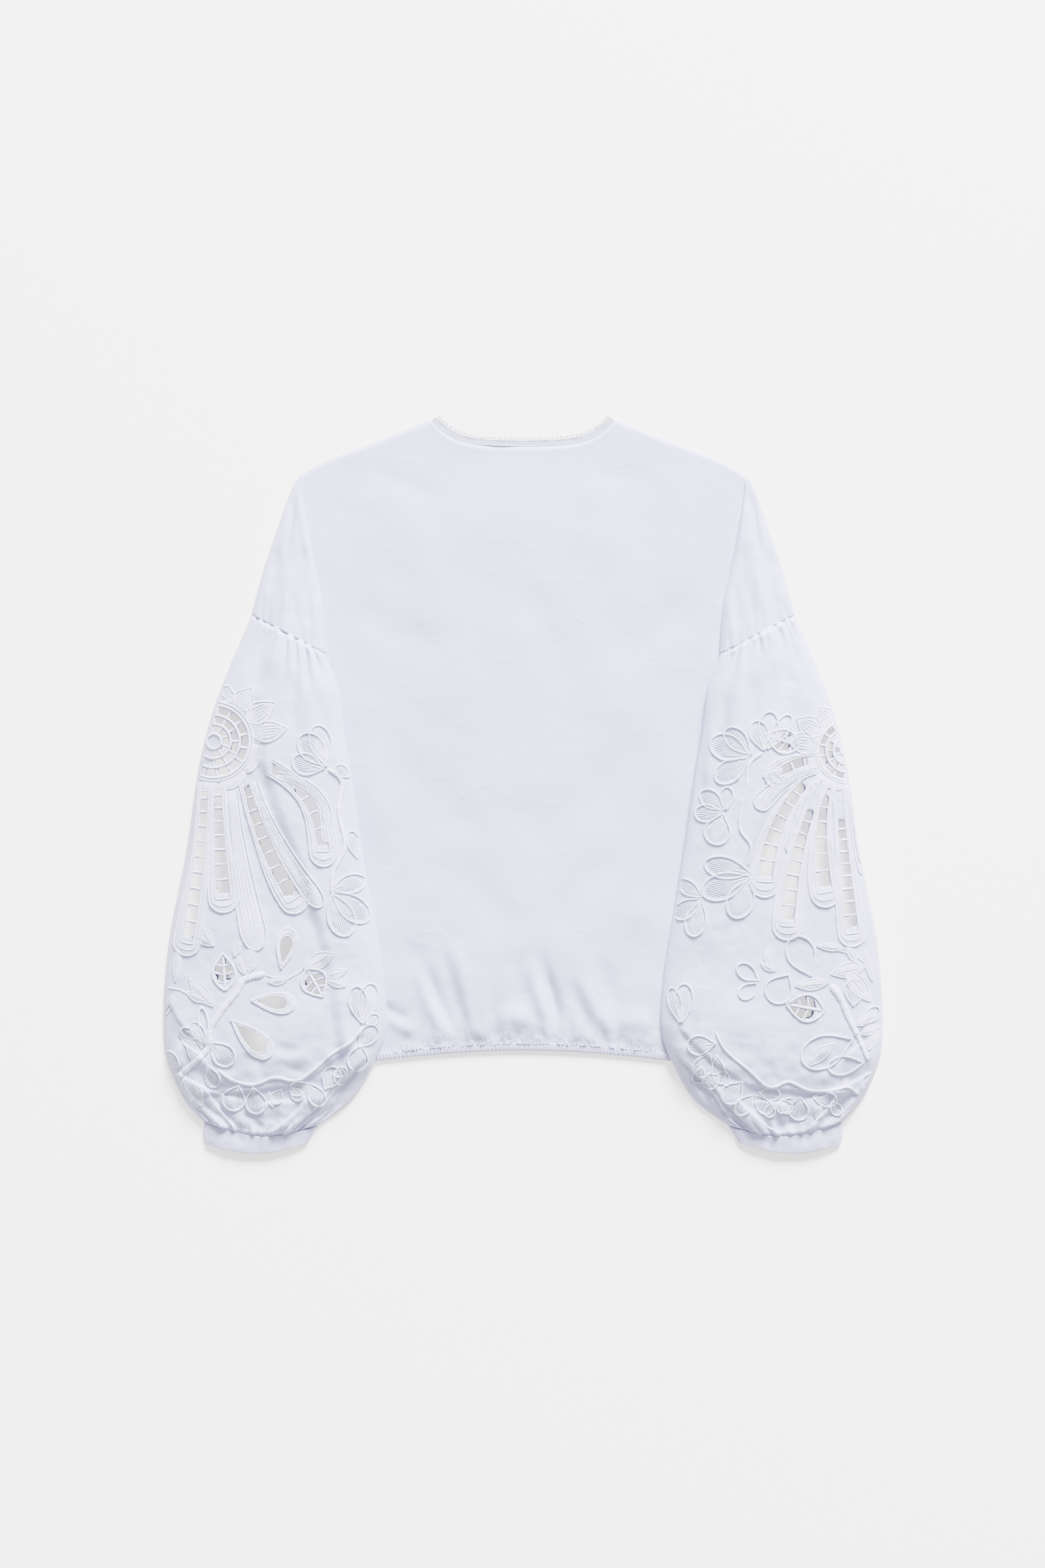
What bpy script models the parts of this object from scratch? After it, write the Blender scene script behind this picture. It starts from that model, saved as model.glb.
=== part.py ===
# An embroidered cotton blouse laid flat with its back up.
# X runs across the blouse, Y from hem to neck and Z up from the surface it lies on.
# Tables are in millimetres and "out" is the distance from the centre line on either side.

import bpy
import numpy as np
from mathutils import Vector
from mathutils.geometry import delaunay_2d_cdt

MM = 0.001

# Cloth and seams
CLOTH = 1.0
GAP = 0.3
RELIEF = 1.3
EDGE_CLEAR = 3.5
LAYER = CLOTH + GAP

# How the layers lie on each other
BODY_STACK = 5.2
SHOULDER_LIFT = 1.3
RAMP = 14.0
RAMP_START = 2.0
SIDE_PUFF = 1.5
CENTRE_PUFF = 3.0
CENTRE_WIDTH = 95.0

# Neck, binding and lace
NECK_HALF = 86.0
NECK_LOW = 313.7
NECK_BOWL = 5.0
NECK_RISE = 20.3
FRONT_NECK_LOW = 252.0
BINDING_WIDTH = 6.0
BINDING_THICK = 1.5
LACE_WIDTH = 2.0
LACE_THICK = 0.9
NECK_TRIM = 1.0
NECK_STEPS = 20

# Hem casing
HEM_HALF = 158.0
HEM_LOW = -247.7
HEM_DROP = 12.5
HEM_CURVE = 1.8
HEM_HEIGHT = 7.2
HEM_THICK = 2.2
HEM_STEPS = 24

# Cuffs
CUFF_WALL = 1.0
CUFF_RIM = 2.5
CUFF_LOFT = 8.3
CUFF_RING = 14

SHOULDER_LINE = [
    dict(out=86.0, y=339.0),
    dict(out=139.5, y=317.1),
    dict(out=167.8, y=307.0),
    dict(out=191.9, y=296.2),
    dict(out=208.3, y=285.5),
]

BODY_SIDE = [
    dict(out=208.3, y=285.5),
    dict(out=214.0, y=233.0),
    dict(out=224.0, y=143.7),
    dict(out=236.0, y=75.0),
    dict(out=233.0, y=20.0),
    dict(out=215.0, y=-35.0),
    dict(out=195.0, y=-80.0),
    dict(out=176.0, y=-150.0),
    dict(out=162.0, y=-220.0),
    dict(out=158.0, y=-252.5),
]

SHOULDER_SECTIONS = [
    dict(outer_out=209.5, outer_y=283.2, inner_out=206.6, inner_y=281.5, loft=0.3),
    dict(outer_out=214.6, outer_y=274.1, inner_out=205.2, inner_y=265.0, loft=1.5),
    dict(outer_out=226.7, outer_y=241.2, inner_out=200.5, inner_y=238.0, loft=4.0),
    dict(outer_out=238.7, outer_y=205.8, inner_out=192.5, inner_y=195.0, loft=5.5),
    dict(outer_out=246.0, outer_y=181.0, inner_out=186.5, inner_y=165.0, loft=6.5),
    dict(outer_out=252.0, outer_y=158.5, inner_out=184.0, inner_y=122.5, loft=7.0),
]

SLEEVE_SECTIONS = [
    dict(outer_out=252.0, outer_y=157.5, inner_out=184.0, inner_y=121.5, loft=7.0),
    dict(outer_out=262.0, outer_y=134.0, inner_out=177.0, inner_y=103.0, loft=11.0),
    dict(outer_out=271.5, outer_y=112.0, inner_out=171.0, inner_y=84.0, loft=14.0),
    dict(outer_out=288.0, outer_y=68.0, inner_out=166.5, inner_y=48.0, loft=16.0),
    dict(outer_out=301.0, outer_y=15.5, inner_out=159.0, inner_y=4.0, loft=17.5),
    dict(outer_out=312.5, outer_y=-62.0, inner_out=149.5, inner_y=-62.0, loft=18.5),
    dict(outer_out=327.0, outer_y=-134.5, inner_out=137.5, inner_y=-132.0, loft=19.0),
    dict(outer_out=332.6, outer_y=-183.5, inner_out=130.0, inner_y=-182.0, loft=19.0),
    dict(outer_out=334.0, outer_y=-225.0, inner_out=128.0, inner_y=-225.0, loft=18.0),
    dict(outer_out=331.0, outer_y=-256.0, inner_out=138.0, inner_y=-257.0, loft=16.0),
    dict(outer_out=315.0, outer_y=-293.0, inner_out=159.0, inner_y=-293.0, loft=12.0),
    dict(outer_out=296.0, outer_y=-314.5, inner_out=192.0, inner_y=-318.0, loft=6.0),
]
SLEEVE_SAG = 10.5
SLEEVE_STEPS = 22

CUFF_ROWS = [
    dict(outer_out=296.0, outer_y=-315.4, inner_out=192.0, inner_y=-318.9, sag=10.5),
    dict(outer_out=297.0, outer_y=-326.0, inner_out=197.0, inner_y=-327.0, sag=10.0),
    dict(outer_out=294.5, outer_y=-334.9, inner_out=200.5, inner_y=-333.4, sag=8.87),
]

# Gathers, as ridges counted across the sleeve and along the hem
HEAD_GATHERS = dict(count=12, height=2.4, length=52.0)
CUFF_GATHERS = dict(count=12, height=2.6, length=38.0)
HEM_GATHERS = [
    dict(x=-118.0, height=2.4, width=8.0, length=26.0),
    dict(x=-104.0, height=3.6, width=8.5, length=38.0),
    dict(x=-90.0, height=2.2, width=7.0, length=20.0),
    dict(x=-76.0, height=3.9, width=9.0, length=62.0),
    dict(x=-62.0, height=2.6, width=7.5, length=28.0),
    dict(x=-48.0, height=3.2, width=8.0, length=35.0),
    dict(x=-33.0, height=4.2, width=10.0, length=96.0),
    dict(x=-18.0, height=2.4, width=7.0, length=24.0),
    dict(x=-5.0, height=3.0, width=8.0, length=32.0),
    dict(x=9.0, height=3.8, width=9.0, length=48.0),
    dict(x=23.0, height=2.3, width=7.0, length=22.0),
    dict(x=37.0, height=3.4, width=8.5, length=40.0),
    dict(x=52.0, height=4.1, width=10.0, length=90.0),
    dict(x=67.0, height=2.7, width=8.0, length=27.0),
    dict(x=81.0, height=3.7, width=8.5, length=55.0),
    dict(x=95.0, height=2.3, width=7.0, length=21.0),
    dict(x=108.0, height=3.2, width=8.0, length=33.0),
    dict(x=120.0, height=2.2, width=6.5, length=22.0),
]

# Cutwork and raised stitching; turn is the way a motif points, from 0 up the sleeve to 90 outwards
EYELET_RADIUS = 5.6
ROSETTE_RINGS = [
    dict(cells=9, inner=9.0, outer=14.5, bar=2.2),
    dict(cells=12, inner=17.3, outer=22.8, bar=2.4),
    dict(cells=15, inner=26.0, outer=32.0, bar=2.8),
]
ROSETTE_RIM = 35.5
PETAL_RIM = 3.0
RUNG = 2.8

LEFT_PETALS = [
    dict(root_out=295.5, root_y=-1.0, tip_out=312.0, tip_y=-147.0,
         bow=-3.0, root=7.0, tip=11.0, open=0.02, cells=10),
    dict(root_out=283.0, root_y=0.0, tip_out=277.5, tip_y=-106.0,
         bow=1.0, root=7.0, tip=13.0, open=0.02, cells=8),
    dict(root_out=255.5, root_y=-1.0, tip_out=212.0, tip_y=-106.0,
         bow=5.0, root=8.0, tip=14.0, open=0.02, cells=8),
    dict(root_out=233.0, root_y=15.0, tip_out=185.0, tip_y=-62.0,
         bow=-13.0, root=9.0, tip=11.0, open=0.02, cells=6),
]
RIGHT_PETALS = [
    dict(root_out=274.0, root_y=22.0, tip_out=236.0, tip_y=8.0,
         bow=-4.0, root=8.0, tip=9.0, open=0.10, cells=3),
    dict(root_out=273.0, root_y=12.0, tip_out=224.0, tip_y=-90.0,
         bow=-12.0, root=8.0, tip=14.0, open=0.16, cells=7),
    dict(root_out=279.0, root_y=5.0, tip_out=244.5, tip_y=-131.0,
         bow=-7.0, root=6.0, tip=13.0, open=0.24, cells=8),
    dict(root_out=284.0, root_y=3.0, tip_out=280.0, tip_y=-100.0,
         bow=-6.0, root=6.0, tip=14.0, open=0.14, cells=6),
    dict(root_out=293.0, root_y=-2.0, tip_out=305.0, tip_y=-138.0,
         bow=-1.0, root=6.0, tip=12.0, open=0.24, cells=9),
]
LEFT_DROPS = [
    dict(out=220.5, y=-154.0, turn=-12.0, length=27.0, width=13.0),
    dict(out=233.0, y=-202.0, turn=-95.0, length=29.0, width=14.0),
    dict(out=253.0, y=-234.0, turn=-132.0, length=38.0, width=17.0),
]
LEFT_LATTICES = [
    dict(out=193.0, y=-184.0, turn=-150.0, length=30.0, width=24.0, slots=3),
    dict(out=277.0, y=-174.0, turn=4.0, length=34.0, width=21.0, slots=3),
]
RIGHT_LATTICES = [
    dict(out=261.0, y=-207.0, turn=-80.0, length=36.0, width=25.0, slots=3),
    dict(out=240.0, y=40.0, turn=-70.0, length=34.0, width=22.0, slots=3),
]
LEFT_CORDS = [
    [dict(out=239.0, y=-175.5), dict(out=258.0, y=-181.0), dict(out=265.0, y=-192.0),
     dict(out=281.0, y=-212.0), dict(out=290.0, y=-228.0), dict(out=293.0, y=-246.0),
     dict(out=320.0, y=-272.0)],
    [dict(out=282.0, y=-265.0), dict(out=268.0, y=-275.0), dict(out=250.0, y=-278.5),
     dict(out=230.0, y=-272.0), dict(out=210.0, y=-275.0), dict(out=195.0, y=-265.5),
     dict(out=178.0, y=-250.5), dict(out=160.0, y=-239.0), dict(out=148.5, y=-225.0)],
    [dict(out=180.5, y=14.0), dict(out=168.0, y=2.0), dict(out=170.5, y=-26.0),
     dict(out=165.0, y=-58.0), dict(out=175.5, y=-82.0), dict(out=177.0, y=-101.0)],
]
RIGHT_CORDS = [
    [dict(out=285.0, y=-186.0), dict(out=294.5, y=-199.0), dict(out=301.5, y=-216.0),
     dict(out=312.0, y=-237.0), dict(out=320.0, y=-256.0)],
    [dict(out=178.0, y=-229.0), dict(out=187.0, y=-246.0), dict(out=209.0, y=-265.0),
     dict(out=228.0, y=-281.0), dict(out=246.0, y=-276.0), dict(out=265.0, y=-284.0),
     dict(out=282.0, y=-284.5), dict(out=300.0, y=-280.5)],
    [dict(out=222.0, y=29.5), dict(out=209.0, y=18.5), dict(out=206.5, y=-1.0),
     dict(out=201.0, y=-26.0), dict(out=201.0, y=-43.0), dict(out=210.5, y=-57.0),
     dict(out=208.0, y=-76.0)],
]
SLEEVES = [
    dict(name="left", side=-1, rosette_out=287.0, rosette_y=39.5, rosette_scale=1.0, petals=LEFT_PETALS,
         drops=LEFT_DROPS, lattices=LEFT_LATTICES, cords=LEFT_CORDS),
    dict(name="right", side=1, rosette_out=301.0, rosette_y=31.0, rosette_scale=0.82, petals=RIGHT_PETALS,
         drops=[], lattices=RIGHT_LATTICES, cords=RIGHT_CORDS),
]


def column(table, name):
    return np.array([row[name] for row in table])


def smooth_step(value):
    value = np.clip(value, 0.0, 1.0)
    return value * value * (3.0 - 2.0 * value)


def along(table, name, v):
    # A smooth curve through one column; v runs from 0 at the first row to 1 at the last
    values = column(table, name)
    last = len(values) - 1
    place = np.clip(np.asarray(v, float) * last, 0.0, last)
    row = np.minimum(place.astype(int), last - 1)
    t = place - row
    p0 = values[np.maximum(row - 1, 0)]
    p1 = values[row]
    p2 = values[row + 1]
    p3 = values[np.minimum(row + 2, last)]
    return p1 + 0.5 * t * (p2 - p0 + t * (2 * p0 - 5 * p1 + 4 * p2 - p3 + t * (3 * (p1 - p2) + p3 - p0)))


def body_half(y):
    order = BODY_SIDE[::-1]
    return np.interp(y, column(order, "y"), column(order, "out"))


def neck_curve(x):
    t = np.abs(x) / NECK_HALF
    return NECK_LOW + NECK_BOWL * t ** 2 + NECK_RISE * t ** 5


def front_neck_curve(x):
    t = np.abs(x) / NECK_HALF
    top = neck_curve(NECK_HALF)
    return FRONT_NECK_LOW + (top - FRONT_NECK_LOW) * t ** 2.6


def hem_curve(x):
    return HEM_LOW - HEM_DROP * (np.abs(x) / HEM_HALF) ** HEM_CURVE


def on_body(out, y):
    # 1 where a layer lies on the body panels, 0 where it lies on the surface beside or below them
    beside = smooth_step((body_half(y) + RAMP_START + RAMP - out) / RAMP)
    below = smooth_step((y - hem_curve(out) + RAMP_START + RAMP) / RAMP)
    return beside * below


def section_point(table, u, v, sag=0.0):
    # u runs from the outer edge to the inner edge; sag bows the last rows downwards
    outer_out = along(table, "outer_out", v)
    inner_out = along(table, "inner_out", v)
    outer_y = along(table, "outer_y", v)
    inner_y = along(table, "inner_y", v)
    out = outer_out + (inner_out - outer_out) * u
    y = outer_y + (inner_y - outer_y) * u
    return out, y - sag * np.sin(np.pi * np.clip(u, 0, 1)) * smooth_step((np.asarray(v) - 0.6) / 0.4)


def section_place(table, out, y, sag=0.0):
    # The u and v of a point, by halving: a row lies above the point or below it
    out = np.asarray(out, float)
    y = np.asarray(y, float)
    low = np.zeros_like(out)
    high = np.ones_like(out)
    for _ in range(26):
        v = 0.5 * (low + high)
        outer_out = along(table, "outer_out", v)
        inner_out = along(table, "inner_out", v)
        u = (out - outer_out) / (inner_out - outer_out)
        row_y = section_point(table, u, v, sag)[1]
        low = np.where(row_y > y, v, low)
        high = np.where(row_y > y, high, v)
    return np.clip(u, 0.0, 1.0), v


def dome(u):
    return (1.0 - np.abs(2.0 * u - 1.0) ** 3) ** 0.6


def gathers(u, v_distance, kind):
    ridge = 0.5 - 0.5 * np.cos(2.0 * np.pi * kind["count"] * u)
    return kind["height"] * ridge * np.clip(1.0 - v_distance / kind["length"], 0.0, 1.0) ** 1.4


def sleeve_under_height(out, y):
    return BODY_STACK * on_body(out, y)


def sleeve_upper_height(out, y):
    u, v = section_place(SLEEVE_SECTIONS, out, y, SLEEVE_SAG)
    loft = along(SLEEVE_SECTIONS, "loft", v)
    head = section_point(SLEEVE_SECTIONS, u, 0.0 * v, SLEEVE_SAG)[1] - y
    foot = y - section_point(SLEEVE_SECTIONS, u, 0.0 * v + 1.0, SLEEVE_SAG)[1]
    folds = gathers(u, head, HEAD_GATHERS) + gathers(u, foot, CUFF_GATHERS)
    return sleeve_under_height(out, y) + LAYER + loft * dome(u) + folds


def shoulder_height(out, y):
    u, v = section_place(SHOULDER_SECTIONS, out, y)
    top = SHOULDER_LINE[-1]["y"]
    seam = SHOULDER_SECTIONS[-1]["inner_y"]
    lift = SHOULDER_LIFT + (BODY_STACK - SHOULDER_LIFT) * np.clip((top - y) / (top - seam), 0, 1) ** 2
    return LAYER + lift * on_body(out, y) + along(SHOULDER_SECTIONS, "loft", v) * dome(u)


def back_height(x, y):
    out = np.abs(x)
    side = 1.0 - np.clip(out / body_half(y), 0, 1) ** 4
    top = smooth_step((neck_curve(0.0) - y) / 90.0)
    centre = CENTRE_PUFF * np.exp(-(x / CENTRE_WIDTH) ** 2) * top
    height = LAYER + SIDE_PUFF * side * top + centre
    rise = y - hem_curve(x) - HEM_HEIGHT
    for fold in HEM_GATHERS:
        ridge = np.clip(1.0 - np.abs(x - fold["x"]) / fold["width"], 0.0, 1.0)
        ridge = smooth_step(ridge)
        height = height + fold["height"] * ridge * np.clip(1.0 - rise / fold["length"], 0, 1) ** 1.3
    return height


def front_height(x, y):
    return 0.0 * x


def inside_loop(points, loop):
    x, y = points[:, 0], points[:, 1]
    inside = np.zeros(len(points), bool)
    for start, end in zip(loop, np.roll(loop, -1, axis=0)):
        crosses = (start[1] > y) != (end[1] > y)
        slope = (end[0] - start[0]) / (end[1] - start[1] + 1e-12)
        inside ^= crosses & (x < start[0] + (y - start[1]) * slope)
    return inside


def loop_distance(points, loop):
    start = np.asarray(loop)[None]
    span = np.roll(loop, -1, axis=0)[None] - start
    offset = points[:, None] - start
    t = np.clip((offset * span).sum(2) / ((span ** 2).sum(2) + 1e-12), 0.0, 1.0)
    return np.linalg.norm(offset - t[..., None] * span, axis=2).min(1)


def keep_points(points, outline, holes, clear):
    # Points inside the outline, clear of its edge and of every hole's edge
    points = np.asarray(points, float).reshape(-1, 2)
    keep = inside_loop(points, outline) & (loop_distance(points, outline) > clear)
    for hole in holes:
        keep &= ~inside_loop(points, hole) & (loop_distance(points, hole) > clear)
    return points[keep]


def thin_points(points, clear):
    kept = []
    for point in points:
        if all(np.hypot(point[0] - other[0], point[1] - other[1]) > clear for other in kept):
            kept.append(point)
    return np.array(kept).reshape(-1, 2)


def sheet(name, outline, holes, points, height, thickness=CLOTH, raised=None):
    # An open surface over the outline, cut at the holes, lifted to its height and given its wall
    loops = [np.asarray(outline, float)] + [np.asarray(hole, float) for hole in holes]
    flat = [Vector(p) for loop in loops for p in loop] + [Vector(p) for p in points]
    edges = []
    start = 0
    for loop in loops:
        count = len(loop)
        edges += [(start + i, start + (i + 1) % count) for i in range(count)]
        start += count
    verts, _, faces = delaunay_2d_cdt(flat, edges, [], 0, 1e-5)[:3]
    verts = np.array([(v.x, v.y) for v in verts])
    faces = np.array([face[:] for face in faces])
    centres = verts[faces].mean(axis=1)
    keep = inside_loop(centres, loops[0])
    for hole in loops[1:]:
        keep &= ~inside_loop(centres, hole)
    faces = faces[keep]
    used = np.unique(faces)
    lookup = np.full(len(verts), -1)
    lookup[used] = np.arange(len(used))
    verts = verts[used]
    faces = lookup[faces]
    side_a = verts[faces[:, 1]] - verts[faces[:, 0]]
    side_b = verts[faces[:, 2]] - verts[faces[:, 0]]
    turned = side_a[:, 0] * side_b[:, 1] - side_a[:, 1] * side_b[:, 0] < 0
    faces[turned] = faces[turned][:, ::-1]
    z = height(verts[:, 0], verts[:, 1])
    mesh = bpy.data.meshes.new(name)
    mesh.from_pydata(np.column_stack([verts, z]) * MM, [], faces.tolist())
    piece = bpy.data.objects.new(name, mesh)
    wall = piece.modifiers.new("wall", "SOLIDIFY")
    wall.offset = 1.0
    wall.use_quality_normals = True
    wall.thickness = thickness * MM
    if raised is not None:
        group = piece.vertex_groups.new(name="raised")
        for index, weight in enumerate(raised(verts)):
            group.add([index], float(weight), "REPLACE")
        wall.vertex_group = group.name
        wall.thickness = (thickness + RELIEF) * MM
        wall.thickness_vertex_group = thickness / (thickness + RELIEF)
    return piece


def strip(name, path, width, bottom, thickness):
    # A band along a path: its lower edge is the path, its section a low hexagon with soft edges
    path = np.asarray(path, float)
    along_path = np.gradient(path, axis=0)
    along_path /= np.linalg.norm(along_path, axis=1)[:, None]
    across = np.column_stack([-along_path[:, 1], along_path[:, 0]])
    soft = 0.3 * thickness
    section = [
        (0.0, bottom + soft), (soft, bottom), (width - soft, bottom),
        (width, bottom + soft), (width, bottom + thickness - soft),
        (width - soft, bottom + thickness), (soft, bottom + thickness), (0.0, bottom + thickness - soft),
    ]
    rings = [np.column_stack([path + across * offset, np.full(len(path), z)]) for offset, z in section]
    verts = np.stack(rings, axis=1).reshape(-1, 3) * MM
    sides = len(section)
    faces = []
    for i in range(len(path) - 1):
        for j in range(sides):
            k = (j + 1) % sides
            faces.append((i * sides + j, i * sides + k, (i + 1) * sides + k, (i + 1) * sides + j))
    faces.append(tuple(range(sides))[::-1])
    faces.append(tuple((len(path) - 1) * sides + j for j in range(sides)))
    mesh = bpy.data.meshes.new(name)
    mesh.from_pydata(verts, [], faces)
    return bpy.data.objects.new(name, mesh)


def mirrored(points, side):
    return np.asarray(points, float) * (side, 1.0)


def offset_curve(xs, curve, offset):
    ys = curve(xs)
    slope = np.gradient(ys, xs)
    length = np.hypot(1.0, slope)
    return np.column_stack([xs - slope / length * offset, ys + offset / length])


def neck_xs():
    t = np.linspace(-1.0, 1.0, NECK_STEPS + 1)
    return (NECK_HALF - NECK_TRIM) * np.sin(t * np.pi / 2)


def half_outline_front():
    shoulder = [(row["out"], row["y"]) for row in SHOULDER_LINE]
    arm = [(row["outer_out"], row["outer_y"]) for row in SHOULDER_SECTIONS[1:]]
    side = [(row["out"], row["y"]) for row in BODY_SIDE[2:]]
    return shoulder + arm + side


def half_outline_back():
    return [(row["out"], row["y"]) for row in SHOULDER_LINE + BODY_SIDE[1:]]


def body_outline(half, neck, hem_xs):
    half = np.array(half)
    hem = offset_curve(hem_xs, hem_curve, HEM_HEIGHT + GAP)
    left = mirrored(half, -1)
    return np.vstack([neck[::-1], left, hem, half[::-1]])


def body_neck(curve, xs):
    return np.column_stack([xs, curve(xs) - GAP])


def back_hem_xs():
    ridges = column(HEM_GATHERS, "x")
    troughs = 0.5 * (ridges[1:] + ridges[:-1])
    return np.sort(np.concatenate([ridges, troughs, [-150.0, -137.0, -127.0, 128.0, 138.0, 150.0]]))


def make_back():
    xs = neck_xs()
    hem_xs = back_hem_xs()
    outline = body_outline(half_outline_back(), body_neck(neck_curve, xs), hem_xs)
    points = []
    for fold in HEM_GATHERS:
        for share in (0.4, 0.8):
            rise = fold["length"] * share
            for across in (-0.8, 0.0, 0.8):
                x = fold["x"] + across * fold["width"]
                points.append((x, hem_curve(x) + HEM_HEIGHT + rise))
    for y in np.linspace(-190.0, 300.0, 11):
        reach = body_half(y)
        points += [(x, y) for x in np.linspace(-reach, reach, 13)[1:-1]]
    inner = thin_points(keep_points(points, outline, [], 5.0), 5.0)
    return sheet("back", outline, [], inner, back_height)


def make_front():
    xs = neck_xs()
    hem_xs = np.linspace(-150.0, 150.0, 11)
    outline = body_outline(half_outline_front(), body_neck(front_neck_curve, xs), hem_xs)
    points = [(x, y) for y in (-150.0, -50.0, 50.0, 150.0, 220.0) for x in np.linspace(-160.0, 160.0, 5)]
    return sheet("front", outline, [], keep_points(points, outline, [], 8.0), front_height)


def make_shoulder(sleeve):
    steps = np.linspace(0.0, 1.0, 13)
    outer = np.column_stack(section_point(SHOULDER_SECTIONS, 0.0, steps))
    inner = np.column_stack(section_point(SHOULDER_SECTIONS, 1.0, steps))
    seam = np.column_stack(section_point(SHOULDER_SECTIONS, np.linspace(0, 1, 13)[1:-1], 1.0))
    outline = np.vstack([outer, seam, inner[::-1]])
    points = []
    for v in np.linspace(0.1, 0.92, 9):
        across = np.column_stack(section_point(SHOULDER_SECTIONS, np.array([0.08, 0.25, 0.5, 0.75, 0.92]), v))
        points += across.tolist()
    inner_points = thin_points(keep_points(points, outline, [], 2.0), 2.0)

    def height(x, y):
        return shoulder_height(np.abs(x), y)

    side = sleeve["side"]
    return sheet("shoulder_" + sleeve["name"], mirrored(outline, side), [],
                 mirrored(inner_points, side), height)


def rosette_point(sleeve, radius, angle):
    reach = radius * sleeve["rosette_scale"]
    return sleeve["rosette_out"] + reach * np.cos(angle), sleeve["rosette_y"] + reach * np.sin(angle)


def ring_cells(sleeve, ring):
    # Curved cells round the rosette, parted by bars of even width
    cells = []
    for k in range(ring["cells"]):
        middle = 2.0 * np.pi * (k + 0.5) / ring["cells"]
        inner_half = np.pi / ring["cells"] - 0.5 * ring["bar"] / ring["inner"]
        outer_half = np.pi / ring["cells"] - 0.5 * ring["bar"] / ring["outer"]
        places = [
            (ring["inner"], middle - inner_half), (ring["outer"], middle - outer_half),
            (ring["outer"], middle + outer_half), (ring["inner"], middle + inner_half),
        ]
        cells.append([rosette_point(sleeve, radius, angle) for radius, angle in places])
    return cells


def petal_point(petal, t, across):
    # A place beside the petal's bowed middle line, from its root at 0 to its tip at 1
    run = np.array([petal["tip_out"] - petal["root_out"], petal["tip_y"] - petal["root_y"]])
    length = np.hypot(*run)
    normal = np.array([-run[1], run[0]]) / length
    root = np.array([petal["root_out"], petal["root_y"]])
    middle = root + run * t + normal * petal["bow"] * 4 * t * (1 - t)
    tangent = run + normal * petal["bow"] * 4 * (1 - 2 * t)
    tangent = tangent / np.hypot(*tangent)
    return middle + np.array([-tangent[1], tangent[0]]) * across


def petal_half(petal, t):
    return 0.5 * (petal["root"] + (petal["tip"] - petal["root"]) * smooth_step(t))


def petal_cells(petal):
    # Rungs part the petal's opening into cells that widen towards its round tip
    length = np.hypot(petal["tip_out"] - petal["root_out"], petal["tip_y"] - petal["root_y"])
    edges = petal["open"] + (0.98 - petal["open"]) * np.linspace(0.0, 1.0, petal["cells"] + 1) ** 1.12
    cells = []
    for t0, t1 in zip(edges[:-1], edges[1:] - RUNG / length):
        last = 0.75 if t1 > 0.92 else 1.0
        corners = ((t0, -petal_half(petal, t0)), (t1, -petal_half(petal, t1) * last),
                   (t1, petal_half(petal, t1) * last), (t0, petal_half(petal, t0)))
        cells.append([petal_point(petal, t, across) for t, across in corners])
    return cells


def petal_rim(petal):
    rim = [petal_point(petal, t, -petal_half(petal, t) - PETAL_RIM) for t in np.linspace(0.0, 1.0, 9)]
    rim.append(petal_point(petal, 1.04, 0.0))
    return rim + [petal_point(petal, t, petal_half(petal, t) + PETAL_RIM) for t in np.linspace(1.0, 0.0, 9)]


def turned_point(motif, forward, across):
    turn = np.radians(motif["turn"])
    return (motif["out"] + forward * np.sin(turn) + across * np.cos(turn),
            motif["y"] + forward * np.cos(turn) - across * np.sin(turn))


def drop_loop(drop):
    # A teardrop: round at its head and drawn to a point behind
    loop = []
    for a in np.linspace(0.0, 2.0 * np.pi, 10, endpoint=False):
        forward = -0.5 * drop["length"] * np.cos(a)
        across = 0.62 * drop["width"] * np.sin(a) * np.sin(0.5 * a) ** 1.3
        loop.append(turned_point(drop, forward, across))
    return loop


def leaf_half(leaf, s):
    return 0.5 * leaf["width"] * np.sin(np.pi * s ** 0.85)


def leaf_slots(leaf):
    # Slanting slots on both sides of the leaf's middle rib
    slots = []
    edges = np.linspace(0.16, 0.84, leaf["slots"] + 1)
    rung = 2.2 / leaf["length"]
    for side in (-1, 1):
        for s0, s1 in zip(edges[:-1] + rung, edges[1:]):
            corners = []
            for s, share in ((s0, 0.0), (s1, 0.0), (s1, 1.0), (s0, 1.0)):
                across = 1.6 + (leaf_half(leaf, s) - 3.4) * share
                forward = leaf["length"] * (s - 0.5) + 3.0 * share
                corners.append(turned_point(leaf, forward, side * across))
            slots.append(corners)
    return slots


def leaf_rim(leaf):
    steps = np.linspace(0.0, 1.0, 9)
    rim = [turned_point(leaf, leaf["length"] * (s - 0.5), leaf_half(leaf, s)) for s in steps]
    return rim + [turned_point(leaf, leaf["length"] * (s - 0.5), -leaf_half(leaf, s)) for s in steps[-2:0:-1]]


def sleeve_holes(sleeve, outline):
    around = np.linspace(0.0, 2.0 * np.pi, 8, endpoint=False)
    holes = [[rosette_point(sleeve, EYELET_RADIUS, angle) for angle in around]]
    for ring in ROSETTE_RINGS:
        holes += ring_cells(sleeve, ring)
    for petal in sleeve["petals"]:
        holes += petal_cells(petal)
    holes += [drop_loop(drop) for drop in sleeve["drops"]]
    for leaf in sleeve["lattices"]:
        holes += leaf_slots(leaf)
    kept = []
    for hole in holes:
        hole = np.array(hole)
        if inside_loop(hole, outline).all() and loop_distance(hole, outline).min() > EDGE_CLEAR:
            kept.append(hole)
    return kept


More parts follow.
